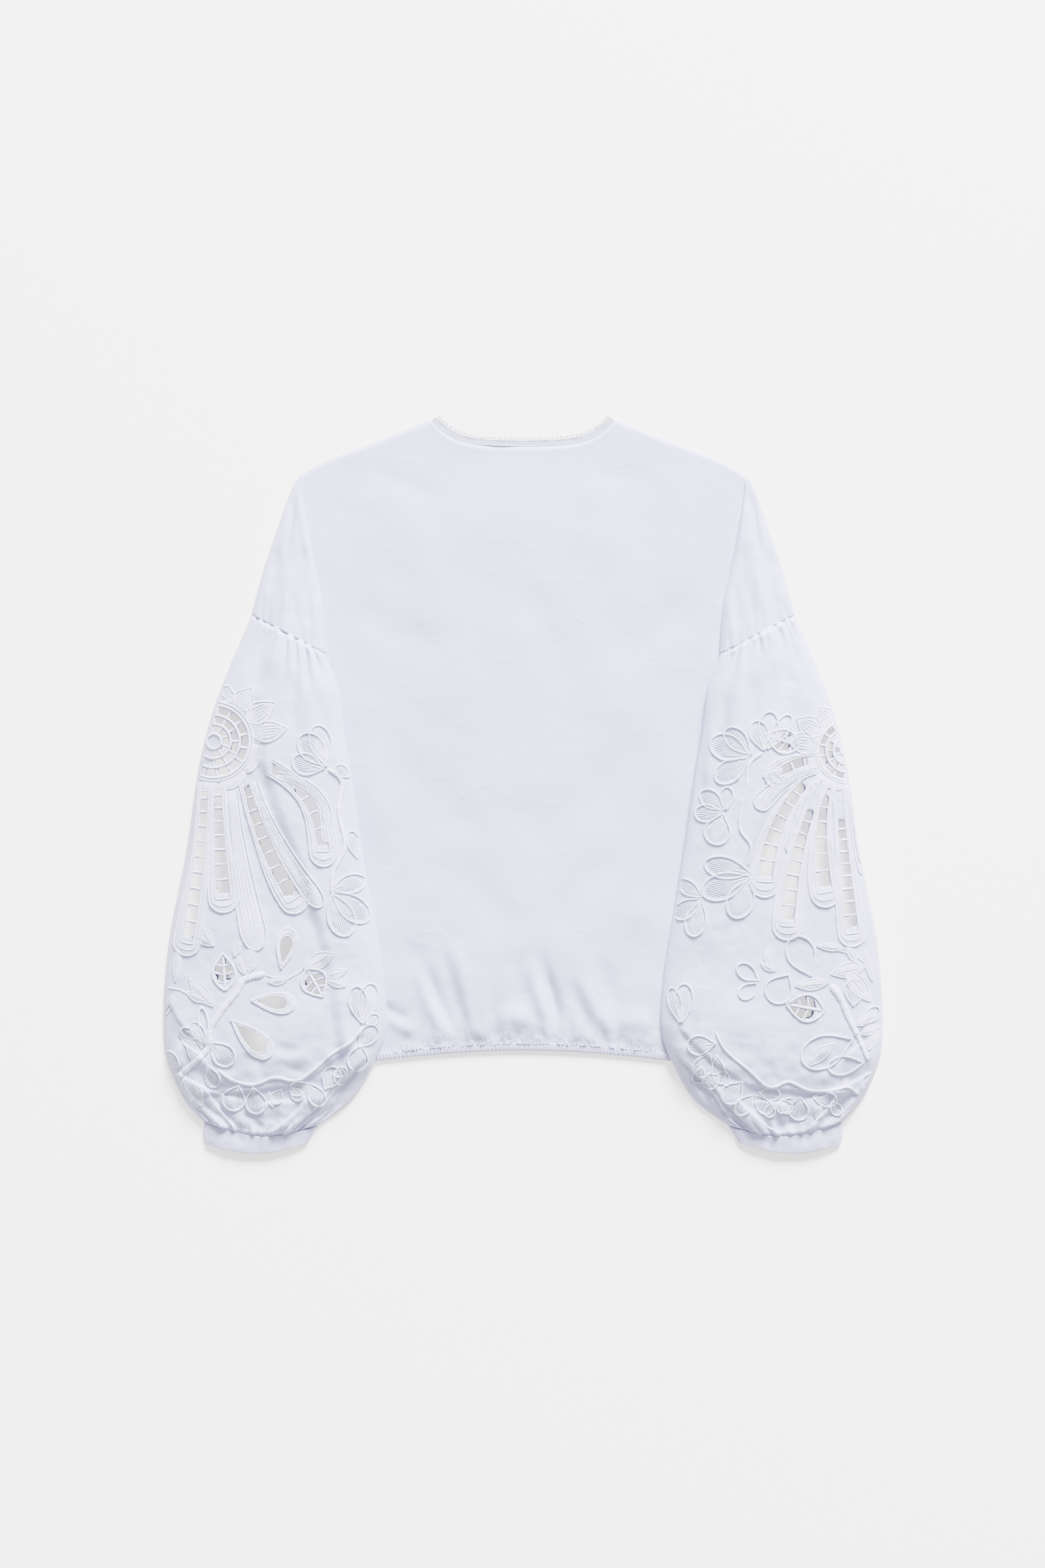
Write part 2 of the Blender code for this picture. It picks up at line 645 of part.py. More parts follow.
def raised_lines(sleeve):
    # Middle lines of the satin-stitched cords and rims that stand above the cloth
    around = np.linspace(0.0, 2.0 * np.pi, 20, endpoint=False)
    lines = [np.column_stack(rosette_point(sleeve, ROSETTE_RIM, around))]
    lines += [np.array(petal_rim(petal)) for petal in sleeve["petals"]]
    lines += [np.array(leaf_rim(leaf)) for leaf in sleeve["lattices"]]
    for cord in sleeve["cords"]:
        t = np.linspace(0.0, 1.0, 3 * len(cord))
        lines.append(np.column_stack([along(cord, "out", t), along(cord, "y", t)]))
    return lines


def sleeve_outline(head_us, foot_us, side_steps):
    steps = np.linspace(0.0, 1.0, side_steps + 1)
    outer = np.column_stack(section_point(SLEEVE_SECTIONS, 0.0, steps, SLEEVE_SAG))
    inner = np.column_stack(section_point(SLEEVE_SECTIONS, 1.0, steps, SLEEVE_SAG))
    head = np.column_stack(section_point(SLEEVE_SECTIONS, head_us, 0.0, SLEEVE_SAG))
    foot = np.column_stack(section_point(SLEEVE_SECTIONS, foot_us, 1.0, SLEEVE_SAG))
    return np.vstack([outer, foot, inner[::-1], head[::-1]])


def make_sleeve_upper(sleeve):
    head_us = np.linspace(0.0, 1.0, 2 * HEAD_GATHERS["count"] + 1)[1:-1]
    foot_us = np.linspace(0.0, 1.0, 2 * CUFF_GATHERS["count"] + 1)[1:-1]
    outline = sleeve_outline(head_us, foot_us, SLEEVE_STEPS)
    holes = sleeve_holes(sleeve, outline)
    raised = [keep_points(line, outline, holes, 1.0) for line in raised_lines(sleeve)]
    raised = thin_points(np.vstack(raised), 3.0)
    points = []
    for us, v, shift in ((head_us, 0.0, -0.5), (foot_us, 1.0, 0.55)):
        kind = HEAD_GATHERS if v == 0.0 else CUFF_GATHERS
        for share in (0.35, 0.75):
            out, y = section_point(SLEEVE_SECTIONS, us, v, SLEEVE_SAG)
            step = np.sign(shift) * share * kind["length"]
            points += np.column_stack([out, y + step]).tolist()
    for v in np.linspace(0.12, 0.9, 13):
        across = np.array([0.04, 0.13, 0.28, 0.43, 0.57, 0.72, 0.87, 0.96])
        points += np.column_stack(section_point(SLEEVE_SECTIONS, across, v, SLEEVE_SAG)).tolist()
    points = keep_points(points, outline, holes, 4.0)
    inner = thin_points(np.vstack([raised, points]), 4.0)
    side = sleeve["side"]

    def height(x, y):
        return sleeve_upper_height(np.abs(x), y)

    def weights(verts):
        spots = mirrored(raised, side)
        return [float(np.hypot(*(spots - vert).T).min() < 0.05) for vert in verts]

    return sheet("sleeve_%s_upper" % sleeve["name"], mirrored(outline, side),
                 [mirrored(hole, side) for hole in holes], mirrored(inner, side), height, CLOTH, weights)


def make_sleeve_under(sleeve):
    us = np.linspace(0.0, 1.0, 13)[1:-1]
    outline = sleeve_outline(us, us, SLEEVE_STEPS)
    holes = sleeve_holes(sleeve, outline)
    points = []
    for y in np.linspace(135.0, -262.0, 16):
        half = float(body_half(y))
        points += [(half + RAMP_START, y), (half + RAMP_START + RAMP, y), (half + RAMP_START + 0.5 * RAMP, y)]
    for out in np.linspace(135.0, 158.0, 4):
        low = hem_curve(out) - RAMP_START
        points += [(out, low), (out, low - 0.5 * RAMP), (out, low - RAMP)]
    inner = thin_points(keep_points(points, outline, holes, 3.0), 3.5)
    side = sleeve["side"]

    def height(x, y):
        return sleeve_under_height(np.abs(x), y)

    return sheet("sleeve_%s_under" % sleeve["name"], mirrored(outline, side),
                 [mirrored(hole, side) for hole in holes], mirrored(inner, side), height)


def make_cuff(sleeve):
    # A flattened ring: round at both ends, flat below and softly domed above
    across = np.cos(np.linspace(0.0, np.pi, CUFF_RING + 1))
    upper = CUFF_RIM + (CUFF_LOFT - CUFF_RIM) * np.sqrt(1.0 - np.abs(across) ** 3)
    lower = CUFF_RIM * (1.0 - np.sqrt(1.0 - np.abs(across) ** 6))
    ring_x = np.concatenate([across, across[-2:0:-1]])
    ring_z = np.concatenate([upper, lower[-2:0:-1]])
    rows = []
    for row in CUFF_ROWS:
        u = 0.5 - 0.5 * ring_x
        out = row["outer_out"] + (row["inner_out"] - row["outer_out"]) * u
        y = row["outer_y"] + (row["inner_y"] - row["outer_y"]) * u - row["sag"] * np.sin(np.pi * u)
        rows.append(np.column_stack([sleeve["side"] * out, y, ring_z]))
    count = len(ring_x)
    faces = []
    for i in range(len(rows) - 1):
        for j in range(count):
            k = (j + 1) % count
            quad = (i * count + j, i * count + k, (i + 1) * count + k, (i + 1) * count + j)
            faces.append(quad if sleeve["side"] > 0 else quad[::-1])
    name = "cuff_" + sleeve["name"]
    mesh = bpy.data.meshes.new(name)
    mesh.from_pydata(np.vstack(rows) * MM, [], faces)
    piece = bpy.data.objects.new(name, mesh)
    wall = piece.modifiers.new("wall", "SOLIDIFY")
    wall.thickness = CUFF_WALL * MM
    wall.offset = -1.0
    return piece


def make_neck():
    xs = neck_xs()
    back_path = offset_curve(xs, neck_curve, 0.0)
    lace_path = offset_curve(xs, neck_curve, BINDING_WIDTH + GAP)
    front_xs = xs[1:-1]
    front_path = offset_curve(front_xs, front_neck_curve, 0.0)
    front_lace = offset_curve(front_xs, front_neck_curve, BINDING_WIDTH + GAP)
    return [
        strip("neck_binding_back", back_path, BINDING_WIDTH, LAYER, BINDING_THICK),
        strip("neck_lace_back", lace_path, LACE_WIDTH, LAYER, LACE_THICK),
        strip("neck_binding_front", front_path, BINDING_WIDTH, 0.0, CLOTH),
        strip("neck_lace_front", front_lace, LACE_WIDTH, 0.0, LACE_THICK),
    ]


def make_hem():
    xs = np.linspace(-HEM_HALF, HEM_HALF, HEM_STEPS + 1)
    path = offset_curve(xs, hem_curve, 0.0)
    return [
        strip("hem_band_front", path, HEM_HEIGHT, 0.0, HEM_THICK),
        strip("hem_band_back", path, HEM_HEIGHT, HEM_THICK + GAP, HEM_THICK),
    ]


def cloth_material(name, roughness):
    material = bpy.data.materials.new(name + "_cloth")
    material.use_nodes = True
    shader = material.node_tree.nodes["Principled BSDF"]
    shader.inputs["Base Color"].default_value = (0.80, 0.81, 0.88, 1.0)
    shader.inputs["Roughness"].default_value = roughness
    shader.inputs["Metallic"].default_value = 0.0
    return material


def clear_scene():
    for item in list(bpy.data.objects):
        bpy.data.objects.remove(item, do_unlink=True)


def main():
    clear_scene()
    blouse = bpy.data.collections.new("embroidered_blouse")
    bpy.context.scene.collection.children.link(blouse)
    pieces = [make_front(), make_back()] + make_neck() + make_hem()
    for sleeve in SLEEVES:
        pieces += [make_shoulder(sleeve), make_sleeve_under(sleeve), make_sleeve_upper(sleeve)]
        pieces.append(make_cuff(sleeve))
    for piece in pieces:
        blouse.objects.link(piece)
        piece.data.materials.append(cloth_material(piece.name, 0.75))
        piece.data.shade_smooth()
        piece.data.set_sharp_from_angle(angle=0.9)


main()
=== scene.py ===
import bpy
import numpy as np
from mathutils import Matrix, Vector


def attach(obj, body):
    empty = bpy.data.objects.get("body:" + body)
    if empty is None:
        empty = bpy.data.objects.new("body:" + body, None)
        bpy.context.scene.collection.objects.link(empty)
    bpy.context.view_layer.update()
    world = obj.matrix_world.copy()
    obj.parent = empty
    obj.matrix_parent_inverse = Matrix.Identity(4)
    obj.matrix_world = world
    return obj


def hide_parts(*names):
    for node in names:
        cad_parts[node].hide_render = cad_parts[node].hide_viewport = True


# An embroidered cotton blouse laid flat with its back up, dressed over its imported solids.
# Sizes are millimetres; "out" is the distance from the centre line, to the left or the right.

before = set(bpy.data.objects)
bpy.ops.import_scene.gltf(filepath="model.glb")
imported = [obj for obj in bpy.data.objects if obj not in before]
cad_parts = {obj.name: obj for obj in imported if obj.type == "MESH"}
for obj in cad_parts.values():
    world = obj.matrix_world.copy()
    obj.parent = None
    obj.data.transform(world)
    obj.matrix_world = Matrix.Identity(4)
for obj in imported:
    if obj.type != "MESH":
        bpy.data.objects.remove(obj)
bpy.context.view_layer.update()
mm = 0.001

cloth = {
    "layer": 1.3,        # one cloth wall of the solids and the gap above it
    "wall": 0.5,         # the poplin's own wall in this model
    "bodyStack": 5.2,    # how high a sleeve lies on the body
    "ramp": 14.0,        # how softly it steps down beside the body
    "rampStart": 2.0,
    "shoulderLift": 1.3,
    "sidePuff": 1.5,
    "centrePuff": 3.0,
    "centreWidth": 95.0,
}

bodyCut = {
    "sideOut": [208.3, 214.0, 224.0, 236.0, 233.0, 215.0, 195.0, 176.0, 162.0, 158.0],
    "sideY": [285.5, 233.0, 143.7, 75.0, 20.0, -35.0, -80.0, -150.0, -220.0, -252.5],
    "shoulderOut": [86.0, 139.5, 167.8, 191.9, 208.3],
    "shoulderY": [339.0, 317.1, 307.0, 296.2, 285.5],
    "neckHalf": 86.0, "neckLow": 313.7, "neckBowl": 5.0, "neckRise": 20.3, "frontNeckLow": 252.0,
    "hemHalf": 158.0, "hemLow": -247.7, "hemDrop": 12.5, "hemCurve": 1.8, "hemHeight": 7.2,
    "casingTop": 4.4,
}

sleeveCut = {
    "outerOut": [252.0, 262.0, 271.5, 288.0, 301.0, 312.5, 327.0, 332.6, 334.0, 331.0, 315.0, 296.0],
    "outerY": [157.5, 134.0, 112.0, 68.0, 15.5, -62.0, -134.5, -183.5, -225.0, -256.0, -293.0, -314.5],
    "innerOut": [184.0, 177.0, 171.0, 166.5, 159.0, 149.5, 137.5, 130.0, 128.0, 138.0, 159.0, 192.0],
    "innerY": [121.5, 103.0, 84.0, 48.0, 4.0, -62.0, -132.0, -182.0, -225.0, -257.0, -293.0, -318.0],
    "loft": [7.0, 11.0, 14.0, 16.0, 17.5, 18.5, 19.0, 19.0, 18.0, 16.0, 12.0, 6.0],
    "sag": 10.5,
}

shoulderCut = {
    "outerOut": [209.5, 214.6, 226.7, 238.7, 246.0, 252.0],
    "outerY": [283.2, 274.1, 241.2, 205.8, 181.0, 158.5],
    "innerOut": [206.6, 205.2, 200.5, 192.5, 186.5, 184.0],
    "innerY": [281.5, 265.0, 238.0, 195.0, 165.0, 122.5],
    "loft": [0.3, 1.5, 4.0, 5.5, 6.5, 7.0],
    "sag": 0.0,
}


def smoothStep(t):
    t = np.clip(t, 0.0, 1.0)
    return t * t * (3.0 - 2.0 * t)


def bell(t):
    return np.exp(-t ** 2)


# a direction turned a quarter to the left
def squareTo(direction):
    return np.stack([-direction[..., 1], direction[..., 0]], -1)


# the distance along a path at each of its places
def runAlong(path):
    return np.concatenate([[0], np.cumsum(np.linalg.norm(np.diff(path, axis=0), axis=1))])


def placesAt(path, distances):
    run = runAlong(path)
    return np.stack([np.interp(distances, run, path[:, i]) for i in (0, 1)], -1)


# a smooth curve through a list of values: each span is the cubic that meets its neighbours' slopes
def along(values, v):
    values = np.asarray(values, float)
    last = len(values) - 1
    place = np.clip(np.asarray(v, float) * last, 0.0, last)
    row = np.minimum(place.astype(int), last - 1)
    t = place - row
    p0, p1 = values[np.maximum(row - 1, 0)], values[row]
    p2, p3 = values[row + 1], values[np.minimum(row + 2, last)]
    return p1 + 0.5 * t * (p2 - p0 + t * (2 * p0 - 5 * p1 + 4 * p2 - p3 + t * (3 * (p1 - p2) + p3 - p0)))


def bodyHalf(y):
    return np.interp(y, bodyCut["sideY"][::-1], bodyCut["sideOut"][::-1])


def neckCurve(x):
    t = np.abs(x) / bodyCut["neckHalf"]
    return bodyCut["neckLow"] + bodyCut["neckBowl"] * t ** 2 + bodyCut["neckRise"] * t ** 5


def frontNeckCurve(x):
    t = np.abs(x) / bodyCut["neckHalf"]
    return bodyCut["frontNeckLow"] + (neckCurve(bodyCut["neckHalf"]) - bodyCut["frontNeckLow"]) * t ** 2.6


def hemCurve(x):
    return bodyCut["hemLow"] - bodyCut["hemDrop"] * (np.abs(x) / bodyCut["hemHalf"]) ** bodyCut["hemCurve"]


def aboveHem(x, y):
    return y - hemCurve(x) - bodyCut["hemHeight"]


def shoulderCurve(out):
    return np.interp(out, bodyCut["shoulderOut"], bodyCut["shoulderY"])


# 1 where a layer lies on the body panels, 0 where it lies on the surface beside or below them
def onBody(out, y):
    reach = cloth["rampStart"] + cloth["ramp"]
    beside = smoothStep((bodyHalf(y) + reach - out) / cloth["ramp"])
    below = smoothStep((y - hemCurve(out) + reach) / cloth["ramp"])
    return beside * below


# u crosses a piece from its outer edge to its inner edge and v runs down it; the last rows bow down
def cutPoint(cut, u, v):
    outerOut, innerOut = along(cut["outerOut"], v), along(cut["innerOut"], v)
    outerY, innerY = along(cut["outerY"], v), along(cut["innerY"], v)
    bow = cut["sag"] * np.sin(np.pi * np.clip(u, 0, 1)) * smoothStep((np.asarray(v) - 0.6) / 0.4)
    return outerOut + (innerOut - outerOut) * u, outerY + (innerY - outerY) * u - bow


# the u and v of a place, found by halving: its row lies above the place or below it
def cutPlace(cut, out, y):
    out, y = np.asarray(out, float), np.asarray(y, float)
    low, high = np.zeros_like(out), np.ones_like(out)
    for _ in range(22):
        v = 0.5 * (low + high)
        outerOut, innerOut = along(cut["outerOut"], v), along(cut["innerOut"], v)
        u = (out - outerOut) / (innerOut - outerOut)
        above = cutPoint(cut, u, v)[1] > y
        low, high = np.where(above, v, low), np.where(above, high, v)
    return np.clip(u, 0.0, 1.0), v


def dome(u):
    return (1.0 - np.abs(2.0 * u - 1.0) ** 3) ** 0.6


# how far along a bowed line a place is, from 0 to 1, and how far beside the line
def linePlace(x, y, x0, y0, x1, y1, bow):
    dx, dy = x1 - x0, y1 - y0
    length = np.hypot(dx, dy)
    t = ((x - x0) * dx + (y - y0) * dy) / length ** 2
    return t, ((x - x0) * dy - (y - y0) * dx) / length - bow * 4 * t * (1 - t)


def fadeEnds(t, speed):
    return smoothStep(t * speed) * smoothStep((1.0 - t) * speed)


# soft lines pressed into cloth: depth times a bell across each line, fading at both of its ends
def creases(x, y, table):
    total = np.zeros_like(x)
    for x0, y0, x1, y1, bow, width, depth in table:
        t, across = linePlace(x, y, x0, y0, x1, y1, bow)
        total += depth * bell(across / width) * fadeEnds(t, 3.0)
    return total


# slow waves in nine directions, each one bent, so that no stretch of cloth is quite flat
def drift(x, y, length, seed):
    rng = np.random.RandomState(seed)
    total = np.zeros_like(x)
    for k in range(9):
        angle, phase = (k + rng.uniform()) * np.pi / 9, rng.uniform(0, 6.28)
        wave = length * rng.uniform(0.6, 1.8)
        ahead, beside = x * np.cos(angle) + y * np.sin(angle), x * np.sin(angle) - y * np.cos(angle)
        ahead = ahead + 0.3 * wave * np.sin(beside * 2.6 / wave + 2 * phase)
        total += np.sin(ahead * 6.28 / wave + phase)
    return 0.17 * total


# gathers hang from a seam as ridges of unlike height and length, each with a trough beside it
def gatherFolds(u, away, count, seed, height, longest, lean):
    rng = np.random.RandomState(seed)
    total = np.zeros_like(u)
    for k in range(count):
        middle = (k + 0.5 + rng.uniform(-0.25, 0.25)) / count
        length = longest * (0.22 + 0.78 * rng.uniform() ** 2.2)
        tall = height * rng.uniform(0.45, 1.0)
        wide = rng.uniform(0.32, 0.5) / count * (1.0 + 1.4 * np.clip(away / longest, 0, 1))
        slant = lean * (middle - 0.5) * away / longest + rng.uniform(-0.02, 0.02) * away / longest
        side = (u - middle - slant) / wide
        fold = bell(side) - 0.35 * bell(side - 1.6)
        total += tall * fold * np.clip(1.0 - away / length, 0.0, 1.0) ** 1.3
    return total


def gridFaces(rows, columns, closed=False):
    index = np.arange(rows * columns).reshape(rows, columns)
    if closed:
        index = np.concatenate([index, index[:, :1]], axis=1)
    return np.stack([index[:-1, :-1], index[:-1, 1:], index[1:, 1:], index[1:, :-1]], axis=-1).reshape(-1, 4)


# a mesh from points in millimetres, with a UV map in centimetres of cloth
def meshFrom(name, points, faces, uv=None, flip=False):
    points, faces = np.asarray(points, float).reshape(-1, 3), np.asarray(faces)
    used = np.unique(faces)
    lookup = np.zeros(len(points), int)
    lookup[used] = np.arange(len(used))
    faces = lookup[faces]
    if flip:
        faces = faces[:, ::-1]
    mesh = bpy.data.meshes.new(name)
    mesh.from_pydata(points[used] * mm, [], faces)
    if uv is not None:
        uv = np.asarray(uv, float).reshape(-1, 2)[used]
        layer = mesh.uv_layers.new(name="clothUv")
        layer.data.foreach_set("uv", (uv[faces.ravel()] * 0.1).astype(np.float32).ravel())
    mesh.update()
    return mesh


def nodeOf(first, side, last=""):
    return first + ("left" if side < 0 else "right") + last


def addPiece(name, mesh, finish, replaced=(), wall=None):
    piece = bpy.data.objects.new(name, mesh)
    bpy.context.scene.collection.objects.link(piece)
    mesh.materials.append(finish)
    mesh.shade_smooth()
    if wall:
        modifier = piece.modifiers.new("wall", "SOLIDIFY")
        modifier.thickness = wall * mm
        modifier.offset = 0.0
    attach(piece, "root")
    if replaced:
        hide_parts(*replaced)
    return piece


# Materials

weaveLook = {"yarn": 0.45, "slub": 2.6, "press": 38.0, "crease": 52.0, "pucker": (3.2, 8.0, 8.0),
             "puckerHeight": 34.0}
clothTone = (0.538, 0.516, 0.69, 1.0)
threadTone = (0.79, 0.775, 0.90, 1.0)


# sets the inputs of a node: a socket is linked and anything else is its value
def setInputs(tree, node, values):
    for key, value in values.items():
        if isinstance(value, bpy.types.NodeSocket):
            tree.links.new(value, node.inputs[key])
        else:
            node.inputs[key].default_value = value


def newNode(tree, kind, values):
    node = tree.nodes.new("ShaderNode" + kind)
    setInputs(tree, node, values)
    return node


def noiseNode(tree, place, scale, detail, distortion=0.0):
    values = {"Vector": place, "Scale": scale, "Detail": detail, "Distortion": distortion}
    return newNode(tree, "TexNoise", values).outputs[0]


def stretched(tree, place, scale):
    return newNode(tree, "Mapping", {"Vector": place, "Scale": scale}).outputs[0]


def startGroup(name, inputs):
    group = bpy.data.node_groups.new(name, "ShaderNodeTree")
    for label, kind, value in inputs:
        socket = group.interface.new_socket(label, in_out="INPUT", socket_type="NodeSocket" + kind)
        if value is not None:
            socket.default_value = value
    for label, kind in (("Color", "Color"), ("Height", "Float"), ("Roughness", "Float")):
        group.interface.new_socket(label, in_out="OUTPUT", socket_type="NodeSocket" + kind)
    return group, group.nodes.new("NodeGroupInput").outputs


def endGroup(group, tone, shadeTone, mask, height, rough):
    tint = newNode(group, "MixRGB", {"Fac": mask, "Color1": tone, "Color2": shadeTone})
    tint.blend_type = "MULTIPLY"
    result = group.nodes.new("NodeGroupOutput")
    setInputs(group, result, {"Color": tint.outputs[0], "Height": height, "Roughness": rough})
    return group


def mathNode(tree, operation, *values):
    node = newNode(tree, "Math", dict(enumerate(values)))
    node.operation = operation
    return node.outputs[0]


def addShare(tree, total, part, share):
    return mathNode(tree, "ADD", total, mathNode(tree, "MULTIPLY", part, share))


# plain weave: the product of two sets of yarns, with thicker yarns here and there and a faint pressed look
def weaveGroup():
    group, given = startGroup("poplinWeave", [
        ("Coordinates", "Vector", None), ("Yarn", "Float", weaveLook["yarn"] * mm),
        ("Tone", "Color", clothTone),
        ("Shade", "Float", 0.035), ("Gathered", "Float", 0.0)])
    place = given["Coordinates"]
    split = newNode(group, "SeparateXYZ", {"Vector": place})
    turns = [mathNode(group, "DIVIDE", split.outputs[i], given["Yarn"]) for i in (0, 1)]
    waves = [mathNode(group, "SINE", mathNode(group, "MULTIPLY", turn, 3.1416)) for turn in turns]
    slub = noiseNode(group, stretched(group, place, (1.0, 0.22, 1.0)), 1.0 / (weaveLook["slub"] * mm), 3.0)
    press = noiseNode(group, place, 1.0 / (weaveLook["press"] * mm), 4.0)
    height = addShare(group, slub, mathNode(group, "MULTIPLY", *waves), 0.25)
    height = addShare(group, height, press, 2.0)
    # fine creases run where this noise crosses its middle
    crease = noiseNode(group, place, 1.0 / (weaveLook["crease"] * mm), 1.5, 0.5)
    off = mathNode(group, "ABSOLUTE", mathNode(group, "SUBTRACT", crease, 0.5))
    line = mathNode(group, "SUBTRACT", 1.0, mathNode(group, "MULTIPLY", off, 18.0))
    height = addShare(group, height, mathNode(group, "MAXIMUM", line, 0.0), 2.4)
    # puckers, where the cloth is drawn up by a seam
    narrow = stretched(group, place, [1.0 / (size * mm) for size in weaveLook["pucker"]])
    pucker = mathNode(group, "SUBTRACT", noiseNode(group, narrow, 1.0, 1.5, 0.6), 0.5)
    drawn = mathNode(group, "MULTIPLY", pucker, given["Gathered"])
    height = addShare(group, height, drawn, weaveLook["puckerHeight"])
    mask = mathNode(group, "MULTIPLY", mathNode(group, "ADD", slub, press), given["Shade"])
    rough = addShare(group, 0.62, press, 0.18)
    return endGroup(group, given["Tone"], (0.55, 0.57, 0.66, 1.0), mask, height, rough)


# satin stitch: threads side by side across the run of the stitching, some a little proud of the others
def stitchGroup():
    group, given = startGroup("satinStitch", [
        ("Coordinates", "Vector", None), ("Thread", "Float", 0.065), ("Slant", "Float", 0.35),
        ("Tone", "Color", threadTone)])
    place = given["Coordinates"]
    split = newNode(group, "SeparateXYZ", {"Vector": place})
    lean = mathNode(group, "MULTIPLY", split.outputs[1], given["Slant"])
    run = mathNode(group, "DIVIDE", mathNode(group, "ADD", split.outputs[0], lean), given["Thread"])
    rows = mathNode(group, "SINE", mathNode(group, "MULTIPLY", run, 6.2832))
    uneven = noiseNode(group, place, 9.0, 3.0)
    # bundles of threads that lie higher or lower
    strand = noiseNode(group, stretched(group, place, (1.0, 0.18, 1.0)), 4.5, 2.0)
    height = addShare(group, mathNode(group, "MULTIPLY", rows, 0.5), uneven, 1.2)
    height = addShare(group, height, strand, 3.0)
    mask = mathNode(group, "MULTIPLY", mathNode(group, "ADD", uneven, strand), 0.17)
    rough = addShare(group, 0.36, uneven, 0.25)
    return endGroup(group, given["Tone"], (0.62, 0.64, 0.72, 1.0), mask, height, rough)


poplinWeave = weaveGroup()
satinStitch = stitchGroup()


def newMaterial(name):
    finish = bpy.data.materials.new(name)
    finish.use_nodes = True
    return finish, finish.node_tree, finish.node_tree.nodes["Principled BSDF"]


def finishFrom(name, group, source, values, sheen, bumpStrength, bumpHeight):
    finish, tree, shader = newMaterial(name)
    pattern = tree.nodes.new("ShaderNodeGroup")
    pattern.node_tree = group
    if source == "Object":
        place = tree.nodes.new("ShaderNodeTexCoord").outputs["Object"]
    else:
        uvNode = tree.nodes.new("ShaderNodeUVMap")
        uvNode.uv_map = source
        place = uvNode.outputs[0]
    setInputs(tree, pattern, {"Coordinates": place, **values})
    relief = newNode(tree, "Bump", {"Strength": bumpStrength, "Distance": bumpHeight * mm,
                                    "Height": pattern.outputs["Height"]})
    setInputs(tree, shader, {
        "Sheen Weight": sheen, "Sheen Roughness": 0.45, "Specular IOR Level": 0.3,
        "Normal": relief.outputs[0], "Base Color": pattern.outputs["Color"],
        "Roughness": pattern.outputs["Roughness"]})
    return finish


poplin = finishFrom("whitePoplin", poplinWeave, "Object", {}, 0.25, 0.5, 0.12)
bodyPoplin = finishFrom("bodyPoplin", poplinWeave, "Object", {}, 0.25, 0.5, 0.12)
bindingCloth = finishFrom("bindingPoplin", poplinWeave, "Object",
                          {"Yarn": 0.4 * mm, "Shade": 0.05, "Tone": (0.44, 0.44, 0.51, 1.0)}, 0.25, 0.5, 0.14)


def attributeNode(tree, name):
    node = tree.nodes.new("ShaderNodeAttribute")
    node.attribute_name = name
    return node.outputs["Fac"]


# painted light: the back panel glows (emission) where a sleeve lies over it, standing in for light coming
# through the sleeves' thin cloth, so what shows through the cutwork is not left in shade
def paintGlowUnderSleeves(finish, amount):
    tree = finish.node_tree
    glow = newNode(tree, "MixRGB", {"Fac": attributeNode(tree, "paintedGlowMask"), "Color1": (0.0, 0.0, 0.0, 1.0),
                                    "Color2": (0.62, 0.62, 0.68, 1.0)})
    setInputs(tree, tree.nodes["Principled BSDF"], {"Emission Color": glow.outputs[0],
                                                    "Emission Strength": amount})


# puckers show where a mesh is marked as gathered
def showGathers(finish):
    tree = finish.node_tree
    pattern = [node for node in tree.nodes if node.type == "GROUP"][0]
    setInputs(tree, pattern, {"Gathered": attributeNode(tree, "gathered")})


def markPoints(mesh, name, values):
    layer = mesh.attributes.new(name, "FLOAT", "POINT")
    layer.data.foreach_set("value", values.astype(np.float32))


def markGathers(mesh, howMuch):
    place = np.zeros(len(mesh.vertices) * 3)
    mesh.vertices.foreach_get("co", place)
    place = place.reshape(-1, 3) / mm
    markPoints(mesh, "gathered", howMuch(place[:, 0], place[:, 1]))


# painted light: a glow on the back panel under the sleeves
paintGlowUnderSleeves(bodyPoplin, 2.6)
showGathers(bodyPoplin)
showGathers(poplin)
cordThread = finishFrom("cordThread", satinStitch, "clothUv", {"Thread": 0.11}, 0.4, 0.9, 0.25)
satinThread = finishFrom("satinThread", satinStitch, "clothUv", {"Thread": 0.12, "Slant": 0.9}, 0.4, 1.0, 0.3)
# painted shade: the lace's white thread is toned near black, standing for the shade between its picot loops
paintedShadeLace = finishFrom("paintedShadeLace", satinStitch, "clothUv",
                        {"Thread": 0.05, "Tone": (0.20, 0.20, 0.22, 1.0)}, 0.3, 0.6, 0.1)
seamThread = finishFrom("seamThread", satinStitch, "clothUv", {"Thread": 0.04}, 0.3, 0.5, 0.08)
print("materials made")


# Back and front panels

